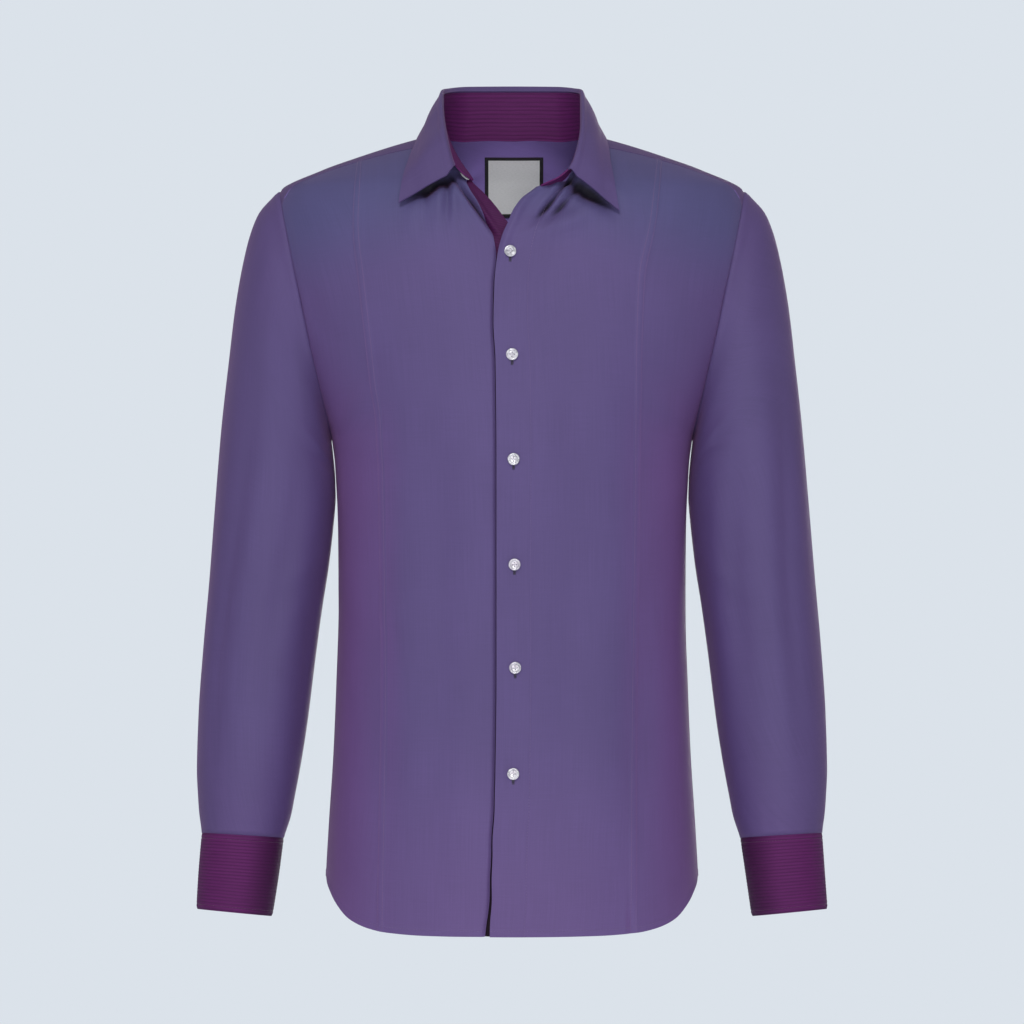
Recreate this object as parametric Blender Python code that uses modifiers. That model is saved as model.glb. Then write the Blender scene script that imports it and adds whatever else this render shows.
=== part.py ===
"""A long-sleeved shirt, buttoned and filled out as when it is worn.

The origin is the middle of the neck opening, at the height of the shoulder points.
+Z is up, the fronts face -Y, and the wearer's left arm is on the +X side.
Every length below is in millimetres; meshes are written in metres.

The body is one smooth surface, torso(turn, height).  Its level sections are
rounded ovals whose half width and depths come from the TORSO table, and the
panels are patches of it between seam lines.  Each sleeve is a loft of rings
that swing from the armhole down to the cuff.
"""
import math

import bmesh
import bpy
from mathutils import Vector

# ---------------------------------------------------------------- sizes

MM = 0.001
CLOTH = 1.2              # wall of a cloth panel
FUSED = 1.5              # wall of a stiffened piece: collar and cuffs
LABEL_WALL = 1.0
SEAM = 0.3               # gap between two sewn pieces
OVERLAY = 0.45           # gap under a strip or end that is laid on another piece
UNDERLAP = 2.1           # how far the under front sinks below the upper one
UNDERLAP_SHARE = 0.35    # share of the under front's width over which it sinks
ROUNDNESS = 2.2          # exponent of the body's oval sections, 2 would be an ellipse

SHOULDER_POINT = (213.0, -44.0)      # half width and height of the armhole's top
UNDERARM_POINT = (165.0, -270.0)     # and of its lowest point
YOKE_FORWARD = 31.0      # the yoke's front seam lies this far in front of the ridge
YOKE_BACK = -97.0        # height of the yoke's back seam

# the front's buttons, from the top down: distance to the side, and height
FRONT_BUTTONS = ((-1.7, -106.7), (0.1, -198.8), (1.4, -291.2), (2.2, -384.3), (2.8, -476.0), (1.1, -569.9))
BUTTON_RADIUS = 5.35
BUTTON_SEAT = 0.1        # a button's foot over the smooth surface that it is sewn to
COLLAR_BUTTON_PLACE = -0.972

LABEL_WIDTH = 55.5
LABEL_TOP = -2.6
LABEL_BOTTOM = -56.8
LABEL_ACROSS = 1.9       # the label's middle, sewn a little off centre

CUFF_STEP = 18.0         # degrees between two columns of the cuff
CUFF_OPENING = 300.0     # where the cuff's under end starts, at the back of the wrist
CUFF_WRAP = 396.0        # how far round its over end reaches
CUFF_CLIMB = 288.0       # and where it starts to climb onto the under end
CUFF_BUTTON_TURN = 20.0  # the cuff's button, past the under end
CUFF_TILT = 4.3          # the wrist points forward: a cuff's front is this much higher than its middle

SIDES = {"right": -1, "left": 1}     # the wearer's right is on -X


def table(columns, *rows):
    """A table with named columns; its first column is the key, in rising order."""
    names = columns.split()
    ordered = sorted(rows)
    return {name: [row[i] for row in ordered] for i, name in enumerate(names)}


TORSO = table(
    "height side front back",
    (22, 40, 8, 50),
    (14, 56, 15, 60),
    (9, 70, 21, 66),
    (4, 88, 28, 72),
    (-3, 112, 37, 79),
    (-14, 145, 52, 88),
    (-25, 175, 66, 96),
    (-44, 213, 84, 106),
    (-65, 220.5, 94, 113),
    (-90, 222.5, 101, 120),
    (-120, 219, 107, 125),
    (-157, 210, 114, 128),
    (-190, 197, 118, 128),
    (-220, 184, 120.5, 127),
    (-250, 171.5, 122, 125),
    (-270, 165, 122, 124),
    (-300, 161.5, 121, 120),
    (-340, 160, 118, 116),
    (-423, 159.3, 112, 110),
    (-500, 161.5, 111, 111),
    (-560, 164, 113, 116),
    (-630, 168.5, 116, 122),
    (-676, 170.8, 118, 124),
    (-740, 171.5, 119, 125))

# the hem's height by turn: 0 is the centre front, 90 the side seam, 180 the centre back
HEM = table(
    "turn height",
    (0, -715.5), (25, -715.5), (38, -714.5), (46, -712), (57, -704.5), (68, -692), (77, -681),
    (90, -672), (103, -682), (112, -694), (123, -709), (134, -719), (146, -724), (180, -727))

# distance from the centre of the seam that shapes each front, bust to hem
PRINCESS = table(
    "height right left",
    (-22, 141, 136),
    (-80, 143, 129),
    (-130, 138, 119),
    (-180, 132, 116.5),
    (-216, 128, 115.6),
    (-258, 122, 115),
    (-330, 119, 114),
    (-450, 118, 113),
    (-728, 121, 111))

# the closing, across the centre: the upper front's edge, the seam of the
# button stand on the under front, and the stand's own free edge
CLOSING = table(
    "height upper_edge stand_seam stand_edge",
    (-24, 40, -46, -43),
    (-41, 29, -41.5, -35),
    (-50, 19.5, -37.5, -26.5),
    (-59, 8, -32, -18.5),
    (-71, 0, -26, -9.5),
    (-80, -3.5, -22.5, -3),
    (-93, -9, -16.5, 5),
    (-110, -13, -15, 11),
    (-134, -15.6, -17.8, 14),
    (-170, -16.4, -18.6, 15),
    (-205, -14.6, -16.8, 15.5),
    (-290, -13.8, -16, 16),
    (-480, -13.8, -16, 16),
    (-570, -14.8, -17, 15.5),
    (-640, -17.5, -20.5, 14.5),
    (-728, -18.2, -27, 13.5))

# the collar, from the right front end (-1) round the back of the neck (0) to the
# left front end (1): the neck seam in plan, and the top of the stand
STAND = table(
    "place neck_x neck_y top_x top_y top_z",
    (-1.0, -35, -81, -45, -89, -35),
    (-0.945, -40, -73, -51, -82, -26.5),
    (-0.85, -47, -61, -58, -63, -1),
    (-0.727, -60, -45, -61.5, -40, 18),
    (-0.615, -69, -25, -63, -20, 32),
    (-0.473, -72, 5, -63.5, 8, 46),
    (-0.328, -62, 35, -55, 36, 52),
    (-0.198, -42, 55, -39, 51, 54.5),
    (0.0, 0, 64, 0, 59, 55.5),
    (0.188, 42, 55, 39, 51, 54.5),
    (0.312, 62, 35, 55, 36, 52),
    (0.45, 72, 5, 63.5, 8, 46),
    (0.598, 69, -27, 63, -22, 30),
    (0.747, 60, -55, 62, -54, 8),
    (0.885, 46, -80, 54, -89, -26),
    (0.95, 35, -84, 41.5, -94.5, -39.5),
    (1.0, 24, -86, 27, -92, -45.5))

# the collar leaf on the same places: its crest, and its outer edge down to the points
LEAF = table(
    "place crest_x crest_y crest_z edge_x edge_y edge_z",
    (-0.95, -52.5, -94, -35, -102, -93, -62),
    (-0.85, -60.5, -70, 2, -99.5, -82, -42),
    (-0.727, -63, -42, 22, -92.5, -56, -18),
    (-0.615, -64.5, -21, 37, -87.5, -33, -3),
    (-0.473, -64, 8, 49.5, -84.5, 4, 8),
    (-0.328, -58, 40, 55.5, -74, 44, 7.5),
    (-0.198, -42, 57, 59.5, -51, 67, 8),
    (0.0, 0, 65, 61, 0, 75, 8.5),
    (0.188, 42, 57, 59.5, 51, 67, 8),
    (0.312, 58, 40, 55.5, 74, 44, 7.5),
    (0.45, 64, 8, 49.5, 84.5, 4, 8),
    (0.598, 64, -22, 36, 87, -33, -3),
    (0.747, 63.5, -55, 13, 88, -60, -18.5),
    (0.86, 59, -84, -16, 92.5, -84.5, -44),
    (0.915, 52.5, -97, -35, 96.5, -94, -69))

# rings of a sleeve: its outer and inner edge seen from the front, how far it
# stands out to front and back, and how far its middle has swung forward
SLEEVE = table(
    "ring out_x out_z in_x in_z front back forward",
    (0, 214.1, -44.4, 166.7, -270.4, 55, 61, 0),
    (1, 222.5, -52, 166.3, -275, 56, 61, 0),
    (2, 232, -63, 165.6, -281, 57, 61, 0),
    (3, 240, -82, 164.9, -288, 58, 60.5, 0),
    (4, 247, -110, 164, -296, 58.5, 60, 0),
    (5, 254, -150, 163.3, -304, 59, 60, 0),
    (6, 260, -200, 162.9, -313, 59, 59.5, 0),
    (7, 267, -262, 162.6, -326, 58.5, 58.5, 0),
    (8, 273, -335, 168, -382, 57, 57, 2),
    (9, 278, -400, 174.5, -425, 56, 56, 4),
    (10, 283, -460, 180.5, -470, 55, 55, 7),
    (11, 286.8, -522, 188, -532, 52.5, 52.5, 12),
    (12, 287.8, -572, 196, -582, 48.5, 48.5, 17),
    (13, 285, -609.4, 203, -615, 42.5, 42.5, 20),
    (14, 282.6, -630.8, 209, -635.2, 38, 38, 22))

CUFF = table(
    "down out_x out_z in_x in_z depth forward",
    (0, 282.6, -631.4, 209.2, -635.8, 38, 22),
    (1, 287.1, -699.8, 219.2, -706.4, 35.5, 27))


def read(source, column, key):
    """One column's value between the rows, on a smooth curve that never overshoots."""
    keys = next(iter(source.values()))
    values = source[column]
    last = len(keys) - 1
    key = min(max(key, keys[0]), keys[last])
    i = min(max(k for k in range(last + 1) if keys[k] <= key), last - 1)
    step = [keys[k + 1] - keys[k] for k in range(last)]
    slope = [(values[k + 1] - values[k]) / step[k] for k in range(last)]

    def tangent(k):
        if k == 0 or k == last:
            return slope[min(k, last - 1)]
        if slope[k - 1] * slope[k] <= 0:
            return 0.0
        before, after = step[k] + 2 * step[k - 1], 2 * step[k] + step[k - 1]
        return (before + after) / (before / slope[k - 1] + after / slope[k])

    t = (key - keys[i]) / step[i]
    rise = values[i + 1] - values[i]
    start, end = tangent(i) * step[i], tangent(i + 1) * step[i]
    return (values[i] + t * start + t * t * (3 * rise - 2 * start - end)
            + t ** 3 * (start + end - 2 * rise))


def solve(function, low, high):
    """Where a steadily changing function passes zero between low and high."""
    rising = function(high) > function(low)
    for _ in range(44):
        middle = (low + high) / 2
        if (function(middle) > 0) == rising:
            high = middle
        else:
            low = middle
    return (low + high) / 2


def mix(a, b, t):
    return a + (b - a) * t


def smooth(t):
    """A soft step: 0 up to t = 0, 1 from t = 1 on."""
    t = min(max(t, 0.0), 1.0)
    return t * t * (3 - 2 * t)


# ---------------------------------------------------------------- the body's surface

def signed_power(value, exponent):
    return math.copysign(abs(value) ** exponent, value)


def body(turn, height):
    """A point of the body: turn is 0 at the centre front and 90 degrees at the left side."""
    angle = math.radians(turn)
    depth = read(TORSO, "front" if math.cos(angle) > 0 else "back", height)
    x = read(TORSO, "side", height) * signed_power(math.sin(angle), 2 / ROUNDNESS)
    y = -depth * signed_power(math.cos(angle), 2 / ROUNDNESS)
    return Vector((x, y, height))


def torso(turn, height, out=0.0):
    """The same point, moved out along the surface's own normal."""
    here = body(turn, height)
    if not out:
        return here
    across = body(turn + 1.5, height) - body(turn - 1.5, height)
    upward = body(turn, height + 1.5) - body(turn, height - 1.5)
    return here + across.cross(upward).normalized() * out


def turn_at(x, height):
    """The turn of the front's point at a distance x from the centre."""
    share = min(abs(x) / read(TORSO, "side", height), 1.0)
    return math.copysign(math.degrees(math.asin(share ** (ROUNDNESS / 2))), x)


def over(x, y):
    """Height and turn of the surface straight over a point of the plan."""
    column = "front" if y < 0 else "back"

    def outside(height):
        return ((abs(x) / read(TORSO, "side", height)) ** ROUNDNESS
                + (abs(y) / read(TORSO, column, height)) ** ROUNDNESS - 1)

    height = solve(outside, -90, 22)
    sine = (abs(x) / read(TORSO, "side", height)) ** (ROUNDNESS / 2)
    cosine = (abs(y) / read(TORSO, column, height)) ** (ROUNDNESS / 2)
    return height, math.degrees(math.atan2(math.copysign(sine, x), math.copysign(cosine, -y)))


def armhole_x(height):
    (top_x, top_z), (low_x, low_z) = SHOULDER_POINT, UNDERARM_POINT
    return mix(low_x, top_x, (height - low_z) / (top_z - low_z))


def armhole_turn(height):
    """The turn where the front meets the armhole, or the side seam below it."""
    if height <= UNDERARM_POINT[1]:
        return 90.0
    return turn_at(armhole_x(height), height)


def hem(turn):
    return read(HEM, "height", min(abs(turn), 360 - abs(turn)))


def neck(place):
    """Height and turn of the neck seam."""
    return over(read(STAND, "neck_x", place), read(STAND, "neck_y", place))


def neck_corner(side):
    """The place where the yoke's front seam reaches the neck."""
    return side * solve(lambda p: read(STAND, "neck_y", side * p) + YOKE_FORWARD, 0.45, 0.8)


def neck_height(turn, side):
    """Height of the front's neck edge at a given turn."""
    corner = abs(neck_corner(side))
    place = solve(lambda p: side * (neck(side * p)[1] - turn), corner, 1.0)
    return neck(side * place)[0]


def yoke_front(turn):
    """Height of the yoke's front seam, which keeps one distance from the ridge."""
    return solve(lambda height: body(turn, height).y + YOKE_FORWARD, -75, 8)


YOKE_END = solve(lambda height: body(armhole_turn(height), height).y + YOKE_FORWARD, -75, -45)


# ---------------------------------------------------------------- meshes

def material(name, colour, roughness, metallic=0.0):
    result = bpy.data.materials.new(name)
    result.use_nodes = True
    shader = result.node_tree.nodes["Principled BSDF"]
    shader.inputs["Base Color"].default_value = (*colour, 1)
    shader.inputs["Roughness"].default_value = roughness
    shader.inputs["Metallic"].default_value = metallic
    return result


SHOT_CLOTH = (0.108, 0.081, 0.205)
RIBBED_CLOTH = (0.093, 0.022, 0.094)
LABEL_CLOTH = (0.466, 0.477, 0.499)
SHELL = (0.62, 0.62, 0.62)


def add_object(name, bm, colour, roughness):
    mesh = bpy.data.meshes.new(name)
    bm.to_mesh(mesh)
    bm.free()
    mesh.shade_smooth()
    result = bpy.data.objects.new(name, mesh)
    result.data.materials.append(material(name, colour, roughness))
    SHIRT.objects.link(result)
    return result


def ease_border(points, wrapped):
    """Draw each sewn border in by half a seam gap, towards its next row of points."""
    columns, rows = len(points), len(points[0])
    moved = [[p.copy() for p in column] for column in points]
    for i in range(columns):
        for j, inner in ((0, 1), (rows - 1, rows - 2)):
            moved[i][j] += (points[i][inner] - points[i][j]).normalized() * SEAM / 2
    if not wrapped:
        for j in range(rows):
            for i, inner in ((0, 1), (columns - 1, columns - 2)):
                moved[i][j] += (points[inner][j] - points[i][j]).normalized() * SEAM / 2
    return moved


def add_sheet(name, points, colour=SHOT_CLOTH, wall=CLOTH, wrapped=False):
    """Cloth through a grid of points, columns to the right and rows up, seen from outside."""
    columns, rows = len(points) - 1, len(points[0]) - 1
    points = ease_border(points, wrapped)
    bm = bmesh.new()
    bmesh.ops.create_grid(bm, x_segments=columns, y_segments=rows, size=0.5)
    for vertex in bm.verts:
        i = round((vertex.co.x + 0.5) * columns)
        j = round((vertex.co.y + 0.5) * rows)
        vertex.co = points[i][j] * MM
    if wrapped:
        bmesh.ops.remove_doubles(bm, verts=bm.verts, dist=0.01 * MM)
    result = add_object(name, bm, colour, 0.75)
    solidify = result.modifiers.new("wall", "SOLIDIFY")
    solidify.thickness = wall * MM
    solidify.offset = 0
    solidify.use_even_offset = True
    return result


# ---------------------------------------------------------------- fronts, back and yoke

ROWS_BELOW = 10          # rows of a panel from hem to underarm
ROWS_ABOVE = 10          # rows of a front along its armhole
ROWS_BACK = 8            # rows of the back along its armhole
CENTRE_COLUMNS = 3       # columns of a centre front below the neck
SHOULDER_COLUMNS = 2     # and below the yoke
SIDE_COLUMNS = 5
BACK_COLUMNS = 18


def climb(row, rows_above, low, top):
    """Height of a row: even steps to the underarm, then closer near both armhole ends."""
    underarm = UNDERARM_POINT[1]
    if row <= ROWS_BELOW:
        return mix(low, underarm, row / ROWS_BELOW)
    swing = math.radians(15) * (row - ROWS_BELOW)
    full = math.radians(15) * rows_above
    return mix(underarm, top, (1 - math.cos(swing)) / (1 - math.cos(full)))


def column_turn(start, end, share, height):
    return mix(start(height), end(height), share)


def top_height(start, end, share, top):
    """Where a column meets the top edge that top(turn) gives."""
    return solve(lambda h: h - top(column_turn(start, end, share, h)), -180, 12)


def panel_column(start, end, share, top, rows_above, out):
    """Points of one column, from the hem up to its top edge."""
    low = solve(lambda h: h - hem(column_turn(start, end, share, h)), -740, -600)
    high = top_height(start, end, share, top)
    column = []
    for row in range(ROWS_BELOW + rows_above + 1):
        height = climb(row, rows_above, low, high)
        column.append(torso(column_turn(start, end, share, height), height, out(share, height)))
    return column


def no_lift(share, height):
    return 0.0


def princess_turn(side):
    name = "right" if side < 0 else "left"

    def turn(height):
        height = min(height, yoke_princess[name])
        return turn_at(side * read(PRINCESS, name, height), height)

    return turn


def princess_top(name):
    """Height where the shaping seam runs into the yoke."""
    def above(height):
        return height - yoke_front(turn_at(read(PRINCESS, name, height), height))

    return solve(above, -60, -16)


yoke_princess = {name: princess_top(name) for name in SIDES}


def edge_turn(column, side):
    """The turn of a closing edge, held at its top value above the neck seam."""
    end_height = neck(side)[0]

    def turn(height):
        height = min(height, end_height)
        return turn_at(read(CLOSING, column, height), height)

    return turn


def front_top(side):
    """The top edge of a centre front: the neck seam, then the yoke's front seam."""
    corner_turn = neck(neck_corner(side))[1]

    def top(turn):
        if abs(turn) < abs(corner_turn) - 1e-6:
            return neck_height(turn, side)
        return yoke_front(turn)

    return top


def corner_share(side, edge):
    """How far across a centre front its neck corner lies."""
    height, turn = neck(neck_corner(side))
    start, end = edge(height), princess_turn(side)(height)
    return (turn - start) / (end - start)


def centre_shares(side, edge):
    corner = corner_share(side, edge)
    below_neck = [corner * k / CENTRE_COLUMNS for k in range(CENTRE_COLUMNS)]
    below_yoke = [mix(corner, 1, k / SHOULDER_COLUMNS) for k in range(SHOULDER_COLUMNS + 1)]
    return below_neck + below_yoke


def under_layer(share, height):
    """The under front sinks below the upper one towards its button stand."""
    return -UNDERLAP * smooth(1 - share / UNDERLAP_SHARE)


def add_centre_front(name, side, edge_column, lift):
    edge = edge_turn(edge_column, side)
    shares = centre_shares(side, edge)
    top = front_top(side)
    points = [panel_column(edge, princess_turn(side), share, top, ROWS_ABOVE, lift) for share in shares]
    add_sheet(name, points if side > 0 else points[::-1])


def side_edge(side):
    """The outer edge of a front: its side seam, then the armhole up to the yoke."""
    return lambda height: side * armhole_turn(min(height, YOKE_END))


SIDE_SHARES = [k / SIDE_COLUMNS for k in range(SIDE_COLUMNS + 1)]


def add_side_front(name, side):
    points = [panel_column(princess_turn(side), side_edge(side), share, yoke_front, ROWS_ABOVE, no_lift)
              for share in SIDE_SHARES]
    add_sheet(name, points if side > 0 else points[::-1])


def add_back():
    def start(height):
        return 180 - armhole_turn(min(height, YOKE_BACK))

    def end(height):
        return 180 + armhole_turn(min(height, YOKE_BACK))

    shares = [k / BACK_COLUMNS for k in range(BACK_COLUMNS + 1)]
    points = [panel_column(start, end, share, lambda turn: YOKE_BACK, ROWS_BACK, no_lift)
              for share in shares]
    add_sheet("back", points)


YOKE_ARM_ROWS = 4        # along the back armhole, from the ridge to the yoke's back seam
YOKE_FRONT_ROWS = 2      # and from the ridge to its front seam
YOKE_ARM_SPREAD = 1.6    # exponent that sets the back armhole's rows closer near the ridge
YOKE_CORNER = 0.27       # place of the neck that faces the yoke's back corner


def yoke_seam_turns(side):
    """The turns of the front seam's points, from the neck out to the armhole."""
    edge = edge_turn("upper_edge" if side > 0 else "stand_seam", side)
    princess = princess_turn(side)
    columns = [(edge, princess, share) for share in centre_shares(side, edge)[CENTRE_COLUMNS:]]
    columns += [(princess, side_edge(side), share) for share in SIDE_SHARES[1:]]
    return [column_turn(*column, top_height(*column, yoke_front)) for column in columns]


def yoke_outline(side):
    """Inner and outer border of half the yoke, from its front seam to the centre back."""
    ridge = side * solve(lambda p: -read(STAND, "neck_y", side * p), 0.35, 0.6)
    quarter = side * YOKE_CORNER
    inner = [mix(neck_corner(side), ridge, k / YOKE_FRONT_ROWS) for k in range(YOKE_FRONT_ROWS)]
    inner += [mix(ridge, quarter, k / YOKE_ARM_ROWS) for k in range(YOKE_ARM_ROWS)]
    inner += [mix(quarter, 0, k / (BACK_COLUMNS // 2)) for k in range(BACK_COLUMNS // 2 + 1)]
    inner = [neck(place) for place in inner]

    tip = SHOULDER_POINT[1]
    outer = [(mix(YOKE_END, tip, k / YOKE_FRONT_ROWS), False) for k in range(YOKE_FRONT_ROWS)]
    outer += [(mix(tip, YOKE_BACK, (k / YOKE_ARM_ROWS) ** YOKE_ARM_SPREAD), True)
              for k in range(YOKE_ARM_ROWS)]
    border = []
    for height, behind in outer:
        turn = armhole_turn(height)
        border.append((height, side * (180 - turn if behind else turn)))
    corner = 180 - armhole_turn(YOKE_BACK)
    for k in range(BACK_COLUMNS // 2 + 1):
        border.append((YOKE_BACK, side * mix(corner, 180, k / (BACK_COLUMNS // 2))))
    return inner, border


def yoke_half(side):
    inner, outer = yoke_outline(side)
    seam = yoke_seam_turns(side)
    steps = len(seam) - 1
    columns = []
    for index, ((in_height, in_turn), (out_height, out_turn)) in enumerate(zip(inner, outer)):
        near_seam = max(0, 1 - index / YOKE_FRONT_ROWS)
        column = []
        for k, seam_turn in enumerate(seam):
            share = k / steps
            turn = mix(in_turn, out_turn, share)
            height = mix(in_height, out_height, share)
            turn += near_seam * (seam_turn - mix(inner[0][1], outer[0][1], share))
            height += near_seam * (yoke_front(seam_turn) - mix(inner[0][0], outer[0][0], share))
            column.append(torso(turn, height))
        columns.append(column)
    return columns


def add_yoke():
    left, right = yoke_half(1), yoke_half(-1)
    around = left + right[::-1][1:]
    add_sheet("yoke", [column[::-1] for column in around])


def add_button_stand():
    seam, edge = edge_turn("stand_seam", -1), edge_turn("stand_edge", -1)

    def top(turn):
        return neck_height(turn, -1) if turn < edge(neck(-1)[0]) - 0.2 else neck(-1)[0]

    points = [panel_column(seam, edge, share, top, ROWS_ABOVE, lambda s, h: -UNDERLAP)
              for share in (0, 0.5, 1)]
    add_sheet("button_stand", points, RIBBED_CLOTH)


# ---------------------------------------------------------------- sleeves and cuffs

SLEEVE_COLUMNS = 24
SLEEVE_RINGS = 14
PLACKET_RINGS = (11, 12, 13, 14)


def armhole_depth(height, front):
    """How far the armhole's edge stands out of its middle, on the body's surface."""
    turn = armhole_turn(height)
    return abs(body(turn if front else 180 - turn, height).y)


def sleeve(side, ring, turn):
    """A point of a sleeve: turn is 0 on the outside, 90 in front and 180 inside."""
    cosine, sine = math.cos(math.radians(turn)), math.sin(math.radians(turn))
    out_x, out_z = read(SLEEVE, "out_x", ring), read(SLEEVE, "out_z", ring)
    in_x, in_z = read(SLEEVE, "in_x", ring), read(SLEEVE, "in_z", ring)
    x = mix(in_x, out_x, (1 + cosine) / 2)
    z = mix(in_z, out_z, (1 + cosine) / 2)
    depth = read(SLEEVE, "front" if sine > 0 else "back", ring) * abs(sine)
    sewn = max(0.0, 1 - ring / 3) ** 2
    if sewn:
        seam_height = mix(UNDERARM_POINT[1], SHOULDER_POINT[1], (1 + cosine) / 2)
        depth = mix(depth, armhole_depth(seam_height, sine > 0), sewn)
    z += CUFF_TILT * sine * smooth((ring - 8) / 6)
    return Vector((side * x, -read(SLEEVE, "forward", ring) - math.copysign(depth, sine), z))


def lifted(surface, u, v, out, side):
    """A point of surface(u, v) moved out along its normal."""
    du = surface(u + 0.5, v) - surface(u - 0.5, v)
    dv = surface(u, v + 0.05) - surface(u, v - 0.05)
    return surface(u, v) + du.cross(dv).normalized() * out * side


def add_sleeve(name, side):
    step = 360 / SLEEVE_COLUMNS
    points = [[sleeve(side, ring, -side * i * step) for ring in range(SLEEVE_RINGS, -1, -1)]
              for i in range(SLEEVE_COLUMNS + 1)]
    add_sheet(name, points, wrapped=True)


def add_placket(name, side):
    """The sleeve's opening strip, laid on the sleeve's own points."""
    step = 360 / SLEEVE_COLUMNS

    def surface(turn, ring):
        return sleeve(side, ring, turn)

    columns = [[lifted(surface, CUFF_OPENING + k * step, ring, CLOTH + OVERLAY, side)
                for ring in PLACKET_RINGS[::-1]] for k in range(3)]
    add_sheet(name, columns[::-1] if side > 0 else columns)


def cuff(side, down, turn, out=0.0):
    """A point of a cuff; down is 0 at its seam with the sleeve and 1 at its edge."""
    cosine, sine = math.cos(math.radians(turn)), math.sin(math.radians(turn))
    out_x, out_z = read(CUFF, "out_x", down), read(CUFF, "out_z", down)
    in_x, in_z = read(CUFF, "in_x", down), read(CUFF, "in_z", down)
    half = (Vector((out_x, 0, out_z)) - Vector((in_x, 0, in_z))) / 2
    middle = Vector(((out_x + in_x) / 2, -read(CUFF, "forward", down), (out_z + in_z) / 2))
    reach = half.normalized() * (half.length + out) * cosine
    deep = (read(CUFF, "depth", down) + out) * sine
    point = middle + reach + Vector((0, -deep, CUFF_TILT * sine))
    return Vector((side * point.x, point.y, point.z))


def cuff_lift(wrap):
    """The over end climbs onto the under end while the cuff comes round to it."""
    return (FUSED + OVERLAY) * smooth((wrap - CUFF_CLIMB) / (360 - CUFF_CLIMB))


def add_cuff(name, side):
    columns = []
    for k in range(round(CUFF_WRAP / CUFF_STEP) + 1):
        wrap = k * CUFF_STEP
        columns.append([cuff(side, down, CUFF_OPENING + wrap, cuff_lift(wrap)) for down in (1, 0.5, 0)])
    add_sheet(name, columns[::-1] if side > 0 else columns, RIBBED_CLOTH, FUSED)


# ---------------------------------------------------------------- collar and label

STAND_LIFT = 1.3         # the stand's lower edge stands clear of the neck seam's cloth
COLLAR_COLUMNS = 24
LEAF_DROP_ROWS = 4
LEAF_LIFT = 0.8          # the leaf's inner edge stands clear of the stand's top
LEAF_ROLL = 1.8          # the leaf bulges out as it rolls over its crest
LEAF_ROLL_END = 0.7      # share of the drop that the bulge takes
COLLAR_PLACES = [mix(-1, 1, k / COLLAR_COLUMNS) for k in range(COLLAR_COLUMNS + 1)]


def stand(place, up):
    """A point of the collar stand; up is 0 at the neck seam and 1 at its top."""
    height, turn = neck(place)
    base = body(turn, height)
    top = Vector([read(STAND, "top_" + axis, place) for axis in "xyz"])
    base += (top - base).normalized() * STAND_LIFT
    return base.lerp(top, up)


def add_stand():
    points = [[stand(place, up) for up in (0, 0.5, 1)] for place in COLLAR_PLACES]
    add_sheet("collar_stand", points, RIBBED_CLOTH, FUSED)


def leaf(place, down):
    """A point of the collar leaf: -1 at the stand's top, 0 on the crest, 1 at the outer edge."""
    crest = Vector([read(LEAF, "crest_" + axis, place) for axis in "xyz"])
    if down < 0:
        foot = stand(place, 1)
        foot += (foot - stand(place, 0)).normalized() * LEAF_LIFT
        return crest.lerp(foot, -down)
    edge = Vector([read(LEAF, "edge_" + axis, place) for axis in "xyz"])
    outward = Vector((crest.x, crest.y, 0)).normalized()
    bulge = LEAF_ROLL * math.sin(math.pi * min(down / LEAF_ROLL_END, 1))
    return crest.lerp(edge, down) + outward * bulge


def add_leaf():
    first, last = LEAF["place"][0], LEAF["place"][-1]
    downs = [1 - k / LEAF_DROP_ROWS for k in range(LEAF_DROP_ROWS)] + [0, -1]
    places = [first] + [p for p in COLLAR_PLACES if first + 0.02 < p < last - 0.02] + [last]
    points = [[leaf(place, down) for down in downs] for place in places]
    add_sheet("collar_leaf", points, SHOT_CLOTH, FUSED)


LABEL_BEHIND = 2.3       # the label's middle lies this far inside the yoke's middle


def add_label():
    half = LABEL_WIDTH / 2

    def point(across, height):
        turn = 180 - turn_at(LABEL_ACROSS + across, height)
        return torso(turn, height, -LABEL_BEHIND)

    points = [[point(across, mix(LABEL_BOTTOM, LABEL_TOP, k / 2)) for k in range(3)]
              for across in (half, 0, -half)]
    add_sheet("neck_label", points, LABEL_CLOTH, LABEL_WALL)


# ---------------------------------------------------------------- buttons

BUTTON_STEPS = 14
BUTTON_PROFILE = ((0, 1.6), (3.5, 1.6), (4.2, 2.1), (BUTTON_RADIUS, 1.5), (4.9, 0.3), (0, 0))


def button_mesh():
    """The half outline of a button, turned round its own axis."""
    bm = bmesh.new()
    corners = [bm.verts.new((radius * MM, 0, height * MM)) for radius, height in BUTTON_PROFILE]
    for first, second in zip(corners, corners[1:]):
        bm.edges.new((first, second))
    return bm


def add_button(name, seat, outward):
    result = add_object(name, button_mesh(), SHELL, 0.25)
    screw = result.modifiers.new("turn", "SCREW")
    screw.axis = "Z"
    screw.steps = screw.render_steps = BUTTON_STEPS
    screw.use_merge_vertices = True
    screw.merge_threshold = 0.00001
    result.location = seat * MM
    result.rotation_euler = outward.to_track_quat("Z", "Y").to_euler()


def seat_on(surface, u, v, step_u, step_v, side, out):
    """A seat over a surface's point, and the direction straight out of it."""
    du = surface(u + step_u, v) - surface(u - step_u, v)
    dv = surface(u, v + step_v) - surface(u, v - step_v)
    outward = du.cross(dv).normalized() * side
    return surface(u, v) + outward * out, outward


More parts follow.
